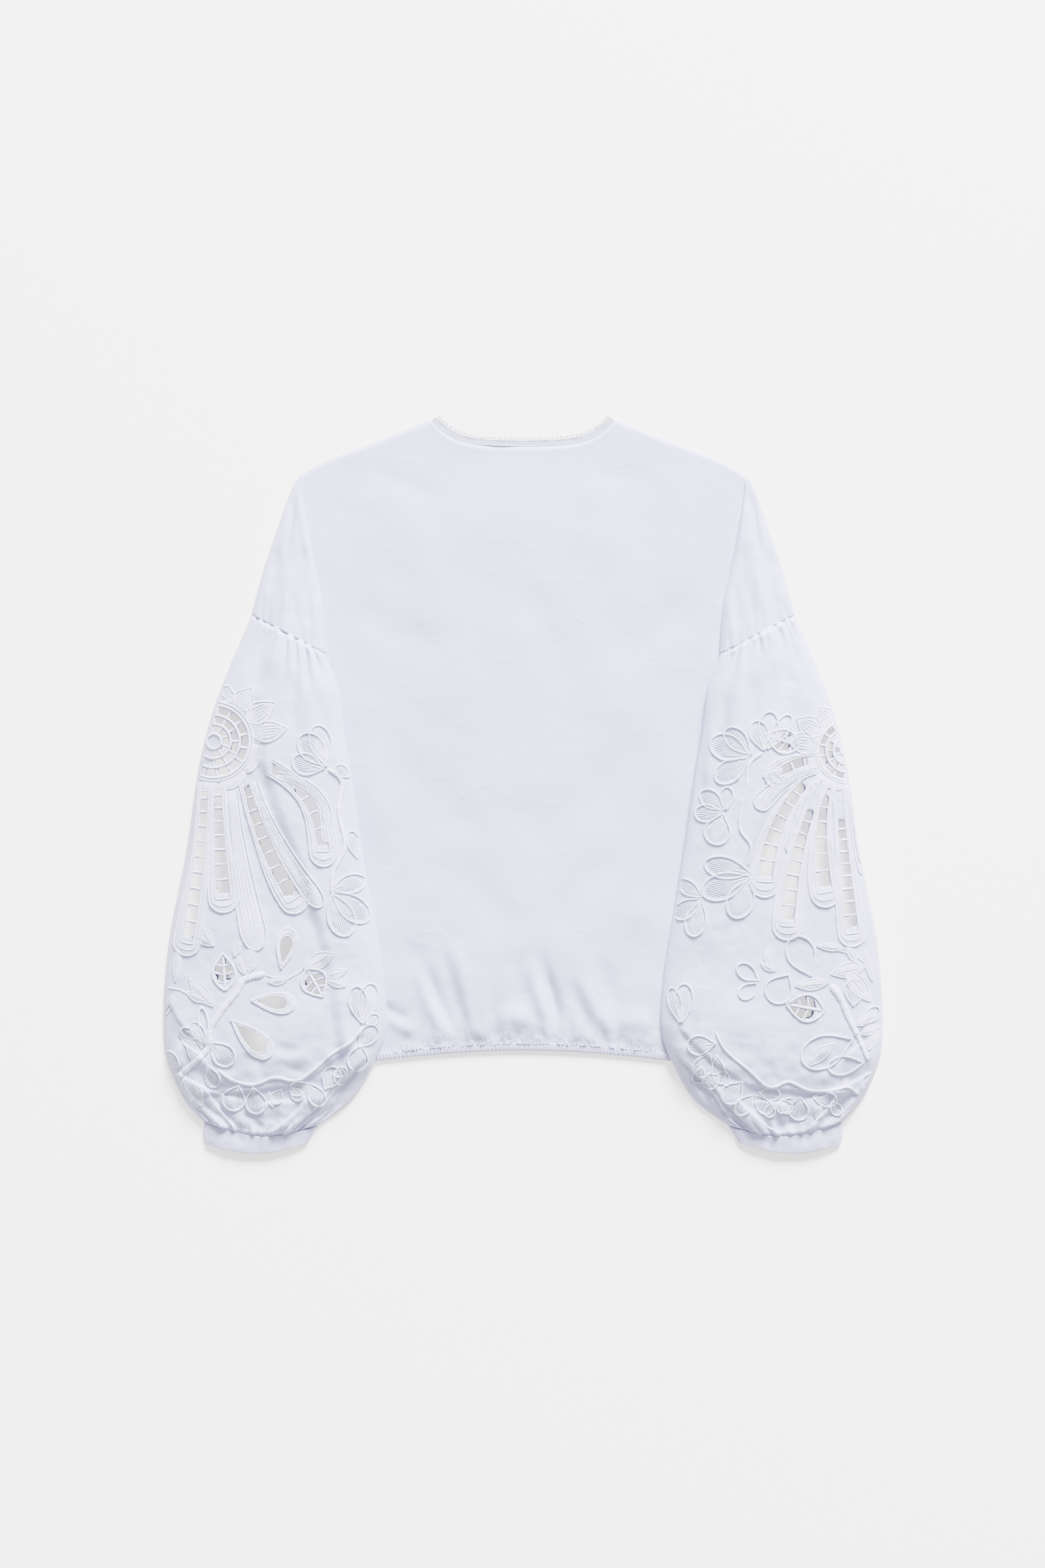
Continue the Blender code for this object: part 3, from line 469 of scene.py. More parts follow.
backLook = {
    "swell": 3.0,
    "hemFolds": [  # place along the hem, height, width and length of each deep gather
        (-118, 2.4, 8, 26), (-104, 3.6, 8.5, 38), (-90, 2.2, 7, 20), (-76, 3.9, 9, 62), (-62, 2.6, 7.5, 28),
        (-48, 3.2, 8, 35), (-33, 4.2, 10, 96), (-18, 2.4, 7, 24), (-5, 3, 8, 32), (9, 3.8, 9, 48),
        (23, 2.3, 7, 22), (37, 3.4, 8.5, 40), (52, 4.1, 10, 90), (67, 2.7, 8, 27), (81, 3.7, 8.5, 55),
        (95, 2.3, 7, 21), (108, 3.2, 8, 33), (120, 2.2, 6.5, 22),
    ],
    "creases": [  # from, to, bow, width and depth of each soft crease
        (-150, 300, -60, 262, 4, 9, -0.5), (40, 292, 150, 262, -5, 11, -0.6),
        (-186, 262, -120, 244, 3, 7, -0.4), (-175, 180, -60, 120, 8, 16, -0.9),
        (-30, 215, 60, 60, -12, 22, -1), (170, 190, 70, 110, -9, 17, -0.9),
        (-120, 40, -20, -60, 10, 20, -0.8), (120, 60, 30, -40, -10, 20, -0.9),
        (-90, -70, 0, -150, -8, 18, -1), (100, -60, 20, -150, 8, 18, -1),
        (-112, -130, -60, -225, 6, 14, -1.3), (110, -120, 70, -220, -6, 14, -1.2),
        (-101, -160, -70, -238, 3, 7, 1.6), (-92, -165, -61, -236, 3, 6, -1.3),
        (-55, -196, -35, -242, 2, 6, 1.3), (20, -168, 33, -240, -2, 5, -1.5),
        (12, -180, 22, -238, -2, 6, 1.2), (45, -178, 70, -242, 3, 7, -1.4), (56, -176, 84, -236, 4, 7, 1.2),
        (-30, -224, 14, -222, -6, 11, 2), (84, -226, 124, -224, -5, 10, 1.6),
        (-130, -202, -106, -220, 3, 6, -1.2), (-126, -212, -98, -232, 3, 6, 1.3),
        (0, -150, 4, -215, 3, 12, -1), (-66, -138, -40, -226, 2, 8, 1.3), (-78, -140, -52, -228, 2, 7, -1),
        (2, -150, 28, -230, 3, 8, 1.1), (15, -148, 39, -230, 3, 7, -1.4), (70, -150, 96, -226, 3, 9, -0.9),
        (-138, 60, -130, -60, 4, 13, 0.8), (132, 70, 124, -50, -4, 13, 0.8),
        (-60, 150, -66, 40, 5, 24, 0.7), (70, 150, 86, 30, -5, 22, 0.7),
    ],
}


def backHeight(x, y):
    out = np.abs(x)
    side = 1.0 - np.clip(out / bodyHalf(y), 0, 1) ** 4
    top = smoothStep((neckCurve(0.0) - y) / 90.0)
    centre = cloth["centrePuff"] * np.exp(-(x / cloth["centreWidth"]) ** 2) * top
    height = cloth["layer"] + cloth["sidePuff"] * side * top + centre
    rise = aboveHem(x, y)
    casing = bodyCut["casingTop"] - 0.5
    height = casing + (height - casing) * smoothStep((rise + 2.0) / 80.0)
    height = height + backLook["swell"] * smoothStep(rise / 70.0) * (1.0 - smoothStep((rise - 70.0) / 150.0))
    folds = 0.0 * height
    for place, tall, wide, long in backLook["hemFolds"]:
        off = np.abs(x - place - 0.12 * rise * np.sin(place))
        ridge = smoothStep(1.0 - off / (wide * (1 + 0.006 * rise)))
        folds = folds + tall * ridge * np.clip(1.0 - rise / long, 0, 1) ** 1.3
    return height + folds * (0.12 + 0.88 * smoothStep((rise + 1.0) / 24.0))


def backTop(x, y):
    rise = aboveHem(x, y)
    clear = smoothStep((128.0 - np.abs(x)) / 14.0)
    away = np.clip(rise, 0, None)
    fine = gatherFolds((x + 150.0) / 300.0, away, 34, 5, 3.6, 36.0, 0.10) \
        + gatherFolds((x + 150.0) / 300.0, away, 60, 7, 2.4, 14.0, 0.0)
    fine = fine * clear * (0.35 + 0.65 * smoothStep((rise + 1.0) / 12.0)) - 1.0 * np.exp(-(away / 9.0) ** 2)
    fine = fine - 1.4 * smoothStep((-0.3 - rise) / 1.0)  # the cut edge is tucked into the casing
    ruffle = 0.5 * np.sin(x * 1.9 + np.sin(x * 0.41)) * np.exp(-((rise - 0.5) / 2.5) ** 2)
    calm = smoothStep((bodyHalf(y) - np.abs(x)) / 40.0) * smoothStep((neckCurve(0.0) - y) / 25.0)
    soft = 2.0 * creases(x, y, backLook["creases"])
    soft = soft + 1.1 * drift(x, y, 95.0, 3) + 0.25 * drift(x, y, 31.0, 21)
    neckEdge = np.exp(-((neckCurve(x) - y) / 7.0) ** 2) * (np.abs(x) < bodyCut["neckHalf"])
    lift = 0.8 * neckEdge * (1.0 - np.exp(-((x + 23.0) / 13.0) ** 2))  # it droops a little left of the middle
    return backHeight(x, y) + fine + ruffle + lift + soft * calm * smoothStep((rise + 2.0) / 10.0)


# columns run from side to side and rows from hem to neck, so each row is as wide as the body is there
def bodyGrid(columns, rows, neck):
    s = np.sort(np.concatenate([np.linspace(-1, 1, columns), [-0.4131, 0.4131]]))[None, :]
    r = np.linspace(0.0, 1.0, rows)[:, None]
    r = 0.35 * r + 0.65 * (1 - np.cos(np.pi * r * 0.5)) if rows > 60 else r
    r = r / r.max()
    hemX, topX = s * bodyCut["hemHalf"], s * bodyCut["shoulderOut"][-1]
    low = hemCurve(hemX) + bodyCut["hemHeight"] - 1.6
    inNeck = np.abs(topX) < bodyCut["neckHalf"]
    high = np.where(inNeck, neck(topX), shoulderCurve(np.abs(topX)))
    y = low + (high - low) * r
    return s * bodyHalf(y), y


def makeBack():
    x, y = bodyGrid(170, 164, neckCurve)
    z = backTop(x, y) + 0.5
    points = np.stack([x, y, z], axis=-1)
    mesh = meshFrom("backPanel", points, gridFaces(*x.shape), points[..., :2])
    u, v = cutPlace(sleeveCut, np.abs(x).ravel(), y.ravel())
    edge = np.minimum(np.minimum(u, 1 - u), np.minimum(v, 1 - v) * 4)
    # the mask of the back panel's painted glow, where a sleeve lies over it
    markPoints(mesh, "paintedGlowMask", smoothStep(edge / 0.12))

    def nearHem(x, y):
        rise = np.clip(aboveHem(x, y), 0, None)
        return 0.8 * np.exp(-(rise / 6.0) ** 2) + 0.3 * np.exp(-(rise / 22.0) ** 2)

    markGathers(mesh, nearHem)
    return addPiece("backPanel", mesh, bodyPoplin, ["back"], cloth["wall"])


def makeFront():
    x, y = bodyGrid(60, 50, frontNeckCurve)
    z = np.full_like(x, 0.5)
    points = np.stack([x, y, z], axis=-1)
    grids, faces, shift = [points], [gridFaces(*x.shape)], x.size
    for side in (-1, 1):  # the dropped shoulders, cut in one with the panel
        v = np.linspace(0.0, 1.0, 24)[:, None]
        t = np.linspace(0.0, 1.0, 7)[None, :]
        outer, y2 = cutPoint(shoulderCut, 0.0, v)
        inner = np.minimum(bodyHalf(y2) + 0.2, outer - 0.5)
        yInner = np.where(v > 0.99, 143.9, y2)
        across = side * (outer + (inner - outer) * t)
        grid = np.stack([across, y2 + (yInner - y2) * t, 0.5 + 0 * (outer * t)], -1)
        faces.append((gridFaces(24, 7)[:, ::-1] if side < 0 else gridFaces(24, 7)) + shift)
        grids.append(grid)
        shift += grid.shape[0] * grid.shape[1]
    every = np.concatenate([g.reshape(-1, 3) for g in grids])
    mesh = meshFrom("frontPanel", every, np.concatenate(faces), every[:, :2])
    return addPiece("frontPanel", mesh, poplin, ["front"], cloth["wall"])


backPanel = makeBack()
frontPanel = makeFront()
print("panels made")


# Shoulders folded over the body

shoulderLook = {
    "creases": [
        (212, 276, 222, 205, 1, 3.5, -1.3), (207, 268, 196, 200, -1, 4, 0.9),
        (226, 225, 236, 172, 1, 5, -0.7), (206, 225, 206, 165, 1, 5, -0.8), (216, 205, 222, 158, 0, 4, 0.7),
        (230, 205, 243, 166, 0, 4.5, 0.5), (198, 190, 200, 140, 0, 4, -0.7),
        (192, 175, 192, 132, 0, 3.5, 0.6), (212, 180, 213, 148, 0, 3, -0.6),
    ],
}


def shoulderBase(out, y):
    seam, top = shoulderCut["innerY"][-1], bodyCut["shoulderY"][-1]
    lift = cloth["shoulderLift"] + (cloth["bodyStack"] - cloth["shoulderLift"]) \
        * np.clip((top - y) / (top - seam), 0, 1) ** 2
    return cloth["layer"] + lift * onBody(out, y)


def makeShoulder(side, name):
    v = np.linspace(0.0, 1.0, 100)[:, None]
    s = np.linspace(0.0, 1.0, 44)[None, :]
    u = 0.5 * s + 0.5 * (0.5 - 0.5 * np.cos(np.pi * s)) + 0 * v
    v = v + 0 * u
    out, y = cutPoint(shoulderCut, u, v)
    calm = smoothStep(np.minimum(u, 1 - u) / 0.08)
    z = shoulderBase(out, y) + along(shoulderCut["loft"], v) * dome(u) + 0.5
    seamAway = np.clip(y - cutPoint(shoulderCut, u, 0 * v + 1.0)[1], 0, None)
    folds = gatherFolds(u, seamAway, 9, 6 if side < 0 else 16, 2.3, 85.0, 0.05)
    z = z + (2.1 * creases(out, y, shoulderLook["creases"]) + folds + 0.4 * drift(out, y, 50.0, 12)) * calm
    y = y - 1.7 * smoothStep((v - 0.985) / 0.015)
    # the inner edge is a fold: it turns down to the back panel and runs in under itself
    turn = np.linspace(0.0, np.pi, 7)[1:][None, :]
    edgeOut, edgeY, edgeZ = out[:, -1:], y[:, -1:], z[:, -1:]
    rest = backTop(edgeOut, edgeY) + 1.0
    tall = np.maximum(edgeZ - rest, 0.4)
    foldOut = edgeOut - 0.35 * tall * np.sin(turn) + 1.5 * (turn / np.pi) ** 2
    foldZ = rest + tall * (0.5 + 0.5 * np.cos(turn))
    rimOut = out[:, :1] + np.array([[-1.2, 0.1, 0.3]])
    rimZ = z[:, :1] + np.array([[-1.4, -1.1, -0.5]])
    out = np.concatenate([rimOut, out, foldOut], axis=1)
    y = np.concatenate([y[:, :1] + 0 * rimOut, y, edgeY + 0 * foldOut], axis=1)
    z = np.concatenate([rimZ, z, foldZ], axis=1)
    points = np.stack([side * out, y, z], axis=-1)
    mesh = meshFrom(name, points, gridFaces(*out.shape), points[..., :2], flip=side > 0)
    node = nodeOf("shoulder_", side)
    return addPiece(name, mesh, poplin, [node], cloth["wall"])


shoulders = [makeShoulder(-1, "shoulderLeft"), makeShoulder(1, "shoulderRight")]
print("shoulders made")


# Embroidery tables: turn is the way a motif points, from 0 up the sleeve to 90 outwards

rosette = {
    "eyelet": 5.6,
    "rings": [(9, 9.0, 14.5, 2.2), (12, 17.3, 22.8, 2.4), (15, 26.0, 32.0, 2.8)],  # cells, inner, outer, bar
    "cords": [(7.0, 1.3), (15.9, 1.2), (24.4, 1.2), (33.8, 1.5), (36.8, 1.2)],      # radius, half width
    "collar": (36.5, 5.0, 5.5),  # radius, width and scallop
    "lobes": [(84, 36, 15, 17), (104, 36, 18, 19), (126, 36, 25, 20), (148, 36, 32, 20), (170, 37, 33, 19)],
}

# root, tip, bow, widths at root and tip, where the cells begin and how many
leftPetals = [
    (295.5, -1, 312, -147, -3, 7, 11, 0.02, 10), (283, 0, 277.5, -106, 1, 7, 13, 0.02, 8),
    (255.5, -1, 212, -106, 5, 8, 14, 0.02, 8), (233, 15, 185, -62, -13, 9, 11, 0.02, 6),
]
rightPetals = [
    (274, 22, 236, 8, -4, 8, 9, 0.10, 3), (273, 12, 224, -90, -12, 8, 14, 0.16, 7),
    (279, 5, 244.5, -131, -7, 6, 13, 0.24, 8), (284, 3, 280, -100, -6, 6, 14, 0.14, 6),
    (293, -2, 305, -138, -1, 6, 12, 0.24, 9),
]
# filled petals: root, tip, bow and widths
leftFilled = [(270.0, -4.0, 246.0, -152.0, 3.0, 9.0, 22.0), (250.0, 2.0, 187.0, -112.0, 6.0, 5.0, 15.0),
              (228.0, 8.0, 182.0, -52.0, -19.0, 4.0, 9.0)]
rightFilled = [(273.0, 14.0, 217.0, -22.0, -6.0, 5.0, 15.0), (305.0, -6.0, 318.0, -84.0, -2.0, 4.0, 8.0),
               (276.0, 8.0, 246.0, -62.0, -6.0, 3.0, 5.0)]
# cut drops: middle, turn, length, width
leftDrops = [(220.5, -154.0, -12.0, 27.0, 13.0), (233.0, -202.0, -95.0, 29.0, 14.0),
             (253.0, -234.0, -132.0, 38.0, 17.0)]
leftLattices = [(193.0, -184.0, -150.0, 30.0, 24.0, 3), (277.0, -174.0, 4.0, 34.0, 21.0, 3)]
rightLattices = [(261.0, -207.0, -80.0, 36.0, 25.0, 3), (240.0, 40.0, -70.0, 34.0, 22.0, 3)]
# veined blossom petals: base, turn, length, width
leftFans = [
    (182, 16, 38, 37, 23), (183, 17, 12, 38, 20), (184, 14, 76, 30, 20),
    (178, -97, -76, 33, 17), (178, -99, -128, 44, 22), (177, -100, -160, 43, 25),
    (149, -222, -14, 38, 18), (150, -221, 8, 34, 17), (146, -222, -60, 14, 10), (153, -70, 14, 27, 11),
    (161, 6, 48, 16, 10), (263, -279, 158, 25, 21), (250, -281, 188, 25, 19), (199, -277, 118, 19, 13),
    (198, -277, -152, 24, 15), (184, -283, -28, 23, 17), (150, -241, 168, 25, 19), (152, -244, -38, 25, 16),
    (289, -239, -136, 28, 20), (293, -241, 34, 24, 11), (318, -262, 52, 20, 12), (291, -262, 196, 20, 14),
    (224, -283, 150, 15, 11), (214, -281, -150, 14, 10), (168, -262, 172, 17, 11), (300, -236, 62, 19, 9),
]
rightFans = [
    (210, 26, -70, 39, 24), (211, 27, -44, 33, 18), (209, 24, -124, 37, 20),
    (222, 31, -14, 28, 17), (223, 31, 10, 36, 18), (226, 32, 34, 38, 14),
    (186, -24, -52, 27, 16), (188, -24, 2, 21, 12), (185, -27, -162, 30, 24), (184, -26, -94, 25, 16),
    (212, -83, -78, 45, 20), (211, -85, -110, 48, 24), (211, -86, -156, 41, 25),
    (166, -105, -56, 27, 13), (165, -106, -125, 30, 16), (165, -107, -165, 35, 19),
    (147, -221, 4, 36, 17), (145, -221, -14, 33, 12), (178, -240, -96, 26, 18), (172, -249, -158, 24, 18),
    (179, -251, 172, 27, 12), (182, -270, -122, 17, 15), (203, -276, -138, 25, 19), (214, -288, -138, 24, 14),
    (215, -288, 142, 22, 13), (218, -286, 96, 20, 12), (252, -291, -128, 20, 12), (257, -290, 186, 22, 18),
    (268, -290, 100, 23, 14), (306, -206, 4, 25, 19), (240, -292, 150, 15, 11), (190, -280, -30, 15, 11),
    (316, -222, 44, 20, 12), (230, -296, -170, 13, 10), (166, -262, -160, 16, 11), (286, -294, 150, 15, 10),
]
# satin leaves: base, turn, length, width
leftLeaves = [
    (218, -181, 98, 18, 7), (203, -171, -62, 31, 14), (184, -178, -76, 22, 8), (183, -181, -108, 20, 7),
    (256, -176, -12, 26, 15), (257, -177, 24, 19, 7), (288, -150, 28, 20, 8), (287, -206, 42, 34, 12),
    (292, -202, 66, 22, 8), (320, -150, 176, 34, 7), (306, -257, 4, 24, 9), (303, -274, 164, 22, 9),
    (286, -150, 62, 24, 8), (297, -245, 20, 27, 7), (299, -250, 48, 26, 8), (305, -276, 196, 24, 9),
    (236, -285, 196, 15, 7), (324, -196, 150, 26, 7), (268, -160, -24, 16, 7),
]
rightLeaves = [
    (228, -171, -10, 19, 6), (233, -173, -62, 15, 6), (322, -202, -38, 40, 15), (285, -176, 78, 34, 13),
    (283, -184, -96, 31, 10), (288, -240, -128, 34, 11), (324, -268, -146, 18, 9), (309, -224, 58, 22, 8),
    (272, -150, 96, 26, 6), (240, 14, -112, 20, 9), (316, -248, 40, 24, 8), (312, -232, 70, 20, 7),
    (318, -154, 168, 30, 7), (300, -150, 150, 18, 7), (276, -298, 196, 14, 7),
]
# outlines with nothing inside: base, turn, length, width
leftRings = [
    (293, -243, 8, 36, 9), (292, -260, -160, 22, 12), (312, -268, 130, 22, 11), (176, -271, -60, 14, 9),
]
rightRings = [
    (267, -178, -25, 40, 26), (246, -176, -147, 30, 25), (218, -182, -54, 24, 14),
    (217, -184, -130, 21, 13), (306, -236, -113, 52, 30), (316, -258, -98, 34, 17),
]
# thick cords: half width at both ends, height, then their places
leftCords = [
    (3.4, 3.0, 2.0, [(239, -175.5), (258, -181), (265, -192), (281, -212), (290, -228), (293, -246),
                     (320, -272)]),
    (1.7, 1.7, 1.7, [(282, -265), (268, -275), (250, -278.5), (230, -272), (210, -275), (195, -265.5),
                     (178, -250.5), (160, -239), (148.5, -225)]),
    (2.3, 1.8, 1.8, [(180.5, 14), (168, 2), (170.5, -26), (165, -58), (175.5, -82), (177, -101)]),
    (1.0, 1.0, 0.9, [(332, -189), (318, -191), (306, -198), (296, -201), (287, -207)]),
    (1.0, 0.8, 0.8, [(203, -171), (212, -177), (222, -181), (238, -177)]),
]
rightCords = [
    (3.8, 2.2, 2.0, [(285, -186), (294.5, -199), (301.5, -216), (312, -237), (320, -256)]),
    (1.4, 1.7, 1.7, [(178, -229), (187, -246), (209, -265), (228, -281), (246, -276), (265, -284),
                     (282, -284.5), (300, -280.5), (311, -288)]),
    (1.7, 1.5, 1.5, [(222, 29.5), (209, 18.5), (206.5, -1), (201, -26), (201, -43), (210.5, -57),
                     (208, -76)]),
    (0.9, 0.9, 0.9, [(192, -15), (188, -38), (181, -50)]),
    (1.0, 1.0, 0.9, [(287, -153), (302, -157), (312, -162), (324, -172)]),
]

leftSleeve = {"side": -1, "name": "Left", "rosette": (287.0, 39.5, 1.0), "petals": leftPetals,
              "filled": leftFilled, "drops": leftDrops, "lattices": leftLattices, "fans": leftFans,
              "leaves": leftLeaves, "rings": leftRings, "cords": leftCords}
rightSleeve = {"side": 1, "name": "Right", "rosette": (301.0, 31.0, 0.82), "petals": rightPetals,
               "filled": rightFilled, "drops": [], "lattices": rightLattices, "fans": rightFans,
               "leaves": rightLeaves, "rings": rightRings, "cords": rightCords}


# Shapes of the motifs, all as places (out, y) on the flat sleeve

def rosettePoint(sleeve, radius, angle):
    out, y, scale = sleeve["rosette"]
    return np.stack([out + radius * scale * np.cos(angle), y + radius * scale * np.sin(angle)], -1)


# a place beside a petal's bowed middle line: the line bulges by its bow and the place stands square to it
def petalPoint(petal, t, across):
    root, tip, bow = np.array(petal[0:2]), np.array(petal[2:4]), petal[4]
    run = tip - root
    normal = squareTo(run) / np.hypot(*run)
    t = np.asarray(t, float)[..., None]
    middle = root + run * t + normal * bow * 4 * t * (1 - t)
    tangent = run + normal * bow * 4 * (1 - 2 * t)
    tangent = tangent / np.linalg.norm(tangent, axis=-1, keepdims=True)
    return middle + squareTo(tangent) * np.asarray(across, float)[..., None]


def petalHalf(petal, t):
    return 0.5 * (petal[5] + (petal[6] - petal[5]) * smoothStep(t))


def petalEdges(petal):
    openAt, cells = petal[7], petal[8]
    return openAt + (0.98 - openAt) * np.linspace(0.0, 1.0, cells + 1) ** 1.12


def petalCells(petal):
    edges = petalEdges(petal)
    rung = 2.8 / np.hypot(petal[2] - petal[0], petal[3] - petal[1])
    cells = []
    for t0, t1 in zip(edges[:-1], edges[1:] - rung):
        last = 0.75 if t1 > 0.92 else 1.0
        t = np.array([t0, t1, t1, t0])
        across = petalHalf(petal, t) * np.array([-1.0, -last, last, 1.0])
        cells.append(petalPoint(petal, t, across))
    return cells


def turned(out, y, turn, forward, across):
    a = np.radians(turn)
    return np.stack([out + forward * np.sin(a) + across * np.cos(a),
                     y + forward * np.cos(a) - across * np.sin(a)], -1)


# a teardrop: round at its head and drawn to a point behind; grow widens it evenly
def dropLoop(drop, count=40, grow=0.0, headGrow=0.0):
    out, y, turn, length, width = drop
    a = np.linspace(0.0, 2.0 * np.pi, count, endpoint=False)
    forward = -(0.5 * length + grow) * np.cos(a) + headGrow * np.sin(0.5 * a) ** 4
    across = (0.62 * width + grow) * np.sin(a) * np.sin(0.5 * a) ** 1.3
    return turned(out, y, turn, forward, across)


# half the width of a leaf along its length s; a fuller shape is widest nearer its far end
def leafHalf(width, s, full):
    return 0.5 * width * np.sin(np.pi * np.clip(s, 0, 1) ** full)


# a blossom petal widens from its base and ends in a round arc
def petalArc(width, s, peak=0.6):
    rise = np.sin(0.5 * np.pi * np.clip(s / peak, 0, 1)) ** 1.2
    fall = np.sqrt(np.clip(1 - ((s - peak) / (1 - peak)) ** 2, 0, 1))
    return 0.5 * width * np.where(s < peak, rise, fall)


def shapeHalf(width, s, full):
    return petalArc(width, s) if full == "arc" else leafHalf(width, s, full)


def leafRim(leaf, full, count=18):
    out, y, turn, length, width = leaf[:5]
    s = 0.5 - 0.5 * np.cos(np.pi * np.linspace(0.0, 1.0, count))
    half = shapeHalf(width, s, full)
    one = turned(out, y, turn, length * s, half)
    two = turned(out, y, turn, length * s[-2:0:-1], -half[-2:0:-1])
    return np.concatenate([one, two])


def latticeLeaf(lattice):
    out, y, turn, length, width, slots = lattice
    a = np.radians(turn)
    return (out - 0.5 * length * np.sin(a), y - 0.5 * length * np.cos(a), turn, length, width)


def latticeSlots(lattice):
    out, y, turn, length, width, slots = lattice
    edges = np.linspace(0.16, 0.84, slots + 1)
    rung = 2.2 / length
    loops = []
    for side in (-1, 1):
        for s0, s1 in zip(edges[:-1] + rung, edges[1:]):
            s = np.array([s0, s1, s1, s0])
            share = np.array([0.0, 0.0, 1.0, 1.0])
            across = 1.6 + (leafHalf(width, s, 0.85) - 3.4) * share
            loops.append(turned(out, y, turn, length * (s - 0.5) + 3.0 * share, side * across))
    return loops


def sleeveHoles(sleeve):
    around = np.linspace(0.0, 2.0 * np.pi, 16, endpoint=False)
    holes = [rosettePoint(sleeve, rosette["eyelet"], around)]
    for cells, inner, outer, bar in rosette["rings"]:
        for k in range(cells):
            middle = 2.0 * np.pi * (k + 0.5) / cells
            a0, a1 = np.pi / cells - 0.5 * bar / inner, np.pi / cells - 0.5 * bar / outer
            holes.append(rosettePoint(sleeve, np.array([inner, outer, outer, inner]),
                                      middle + np.array([-a0, -a1, a1, a0])))
    for petal in sleeve["petals"]:
        holes += petalCells(petal)
    holes += [dropLoop(drop, 20) for drop in sleeve["drops"]]
    for lattice in sleeve["lattices"]:
        holes += latticeSlots(lattice)
    edge = sleeveEdge()
    return [hole for hole in holes if insideLoop(hole, edge).all() and loopPlace(hole, edge)[0].min() > 3.5]


def sleeveEdge():
    v = np.linspace(0.0, 1.0, 60)
    outer = np.stack(cutPoint(sleeveCut, 0.0, v), -1)
    inner = np.stack(cutPoint(sleeveCut, 1.0, v), -1)
    foot = np.stack(cutPoint(sleeveCut, np.linspace(0.05, 0.95, 20), 1.0), -1)
    return np.concatenate([outer, foot, inner[::-1]])


def insideLoop(points, loop):
    x, y = points[:, 0], points[:, 1]
    inside = np.zeros(len(points), bool)
    for start, end in zip(loop, np.roll(loop, -1, axis=0)):
        crosses = (start[1] > y) != (end[1] > y)
        slope = (end[0] - start[0]) / (end[1] - start[1] + 1e-12)
        inside ^= crosses & (x < start[0] + (y - start[1]) * slope)
    return inside


# how far each point lies from a loop, and the loop's nearest place
def loopPlace(points, loop):
    start = loop[None]
    span = np.roll(loop, -1, axis=0)[None] - start
    t = (((points[:, None] - start) * span).sum(2) / ((span ** 2).sum(2) + 1e-12)).clip(0, 1)
    near = start + t[..., None] * span
    distance = np.linalg.norm(points[:, None] - near, axis=2)
    best = distance.argmin(1)
    rows = np.arange(len(points))
    return distance[rows, best], near[rows, best]


# cut loops out of a grid: points near a loop move onto it, and faces with a point inside are left out
def cutHoles(out, y, faces, holes, reach):
    flat = np.stack([out.ravel(), y.ravel()], -1)
    state = np.zeros(len(flat), int)
    for hole in holes:
        low, high = hole.min(0) - reach, hole.max(0) + reach
        near = np.where(((flat > low) & (flat < high)).all(1))[0]
        if not len(near):
            continue
        inside = insideLoop(flat[near], hole)
        distance, place = loopPlace(flat[near], hole)
        snap = distance < reach
        state[near[inside & ~snap]] = 2
        free = snap & (state[near] == 0)
        state[near[free]] = 1
        flat[near[free]] = place[free]
    keep = ~(state[faces] == 2).any(1)
    centre = flat[faces].mean(1)
    edgeOnly = np.where(keep & (state[faces] == 1).all(1))[0]
    for hole in holes:
        keep[edgeOnly[insideLoop(centre[edgeOnly], hole)]] = False
    return flat[:, 0].reshape(out.shape), flat[:, 1].reshape(y.shape), faces[keep]


# Sleeves

sleeveLook = {
    "rows": 276, "columns": 122, "underRows": 150, "underColumns": 64,
    "steps": [
        (196, -319, 139, -249, 5, 2.4, 4.6), (300, -306, 332, -246, 4, 2.6, -3.8),
        (262, -322, 300, -268, 4, 2.2, 3.4), (240, -326, 196, -286, -3, 2.2, -3.2),
        (222, -325, 170, -270, -5, 2, 3), (250, -296, 330, -262, 4, 2.6, 2.4),
        (206, -296, 250, -300, -4, 2.2, 2.2), (284, -318, 316, -284, 3, 2, 2.6),
        (138, -218, 214, -282, 5, 5, -3.6), (196, -277, 322, -288, 3, 5, -3.2),
        (331, -196, 300, -240, -4, 3, 2.6), (322, -236, 290, -262, 3, 2.6, -2.2),
    ],
    "creases": [  # out and y of both ends, bow, width, depth
        (296, -300, 326, -250, 3, 6, -2), (280, -318, 322, -272, 5, 4.5, 1.7),
        (270, -320, 306, -286, 2, 4, -1.6), (262, -322, 276, -290, -2, 5, 1.2),
        (246, -326, 250, -292, 1, 5, -1.2), (228, -326, 214, -296, -2, 4.5, 1.3),
        (216, -326, 186, -292, -3, 5, -1.7), (204, -322, 168, -280, -3, 4.5, 1.8),
        (198, -318, 152, -262, -5, 4, -2.2), (192, -312, 140, -244, -6, 4, 1.8),
        (236, -322, 262, -300, 2, 4, -1), (300, -296, 330, -222, 6, 7, 1.1),
        (318, -262, 304, -214, 2, 5, -0.9), (150, -246, 158, -206, 3, 6, -1),
        (135, -214, 160, -180, -3, 6, 0.9), (200, 100, 196, 30, 2, 7, 1.5),
        (232, 118, 240, 50, -2, 8, -1.4), (214, 108, 214, 40, 1, 6, -1.2), (190, 92, 182, 20, 1, 6, -1.3),
        (252, 120, 268, 60, -1, 8, 1.2), (176, 60, 170, -10, 1, 5, 1.2), (172, 20, 160, -60, 2, 6, -0.9),
        (300, -20, 318, -120, 2, 8, -0.9), (250, 95, 246, 76, 0, 6, 0.8), (206, -120, 180, -150, 3, 9, -1),
        (170, -170, 230, -240, 8, 16, 1.2), (150, -150, 200, -215, -6, 15, -1.1),
        (240, -110, 262, -150, 2, 9, 0.8), (316, -176, 330, -222, 1, 7, -0.8),
        (330, -200, 300, -245, -3, 6, 0.9),
    ],
}


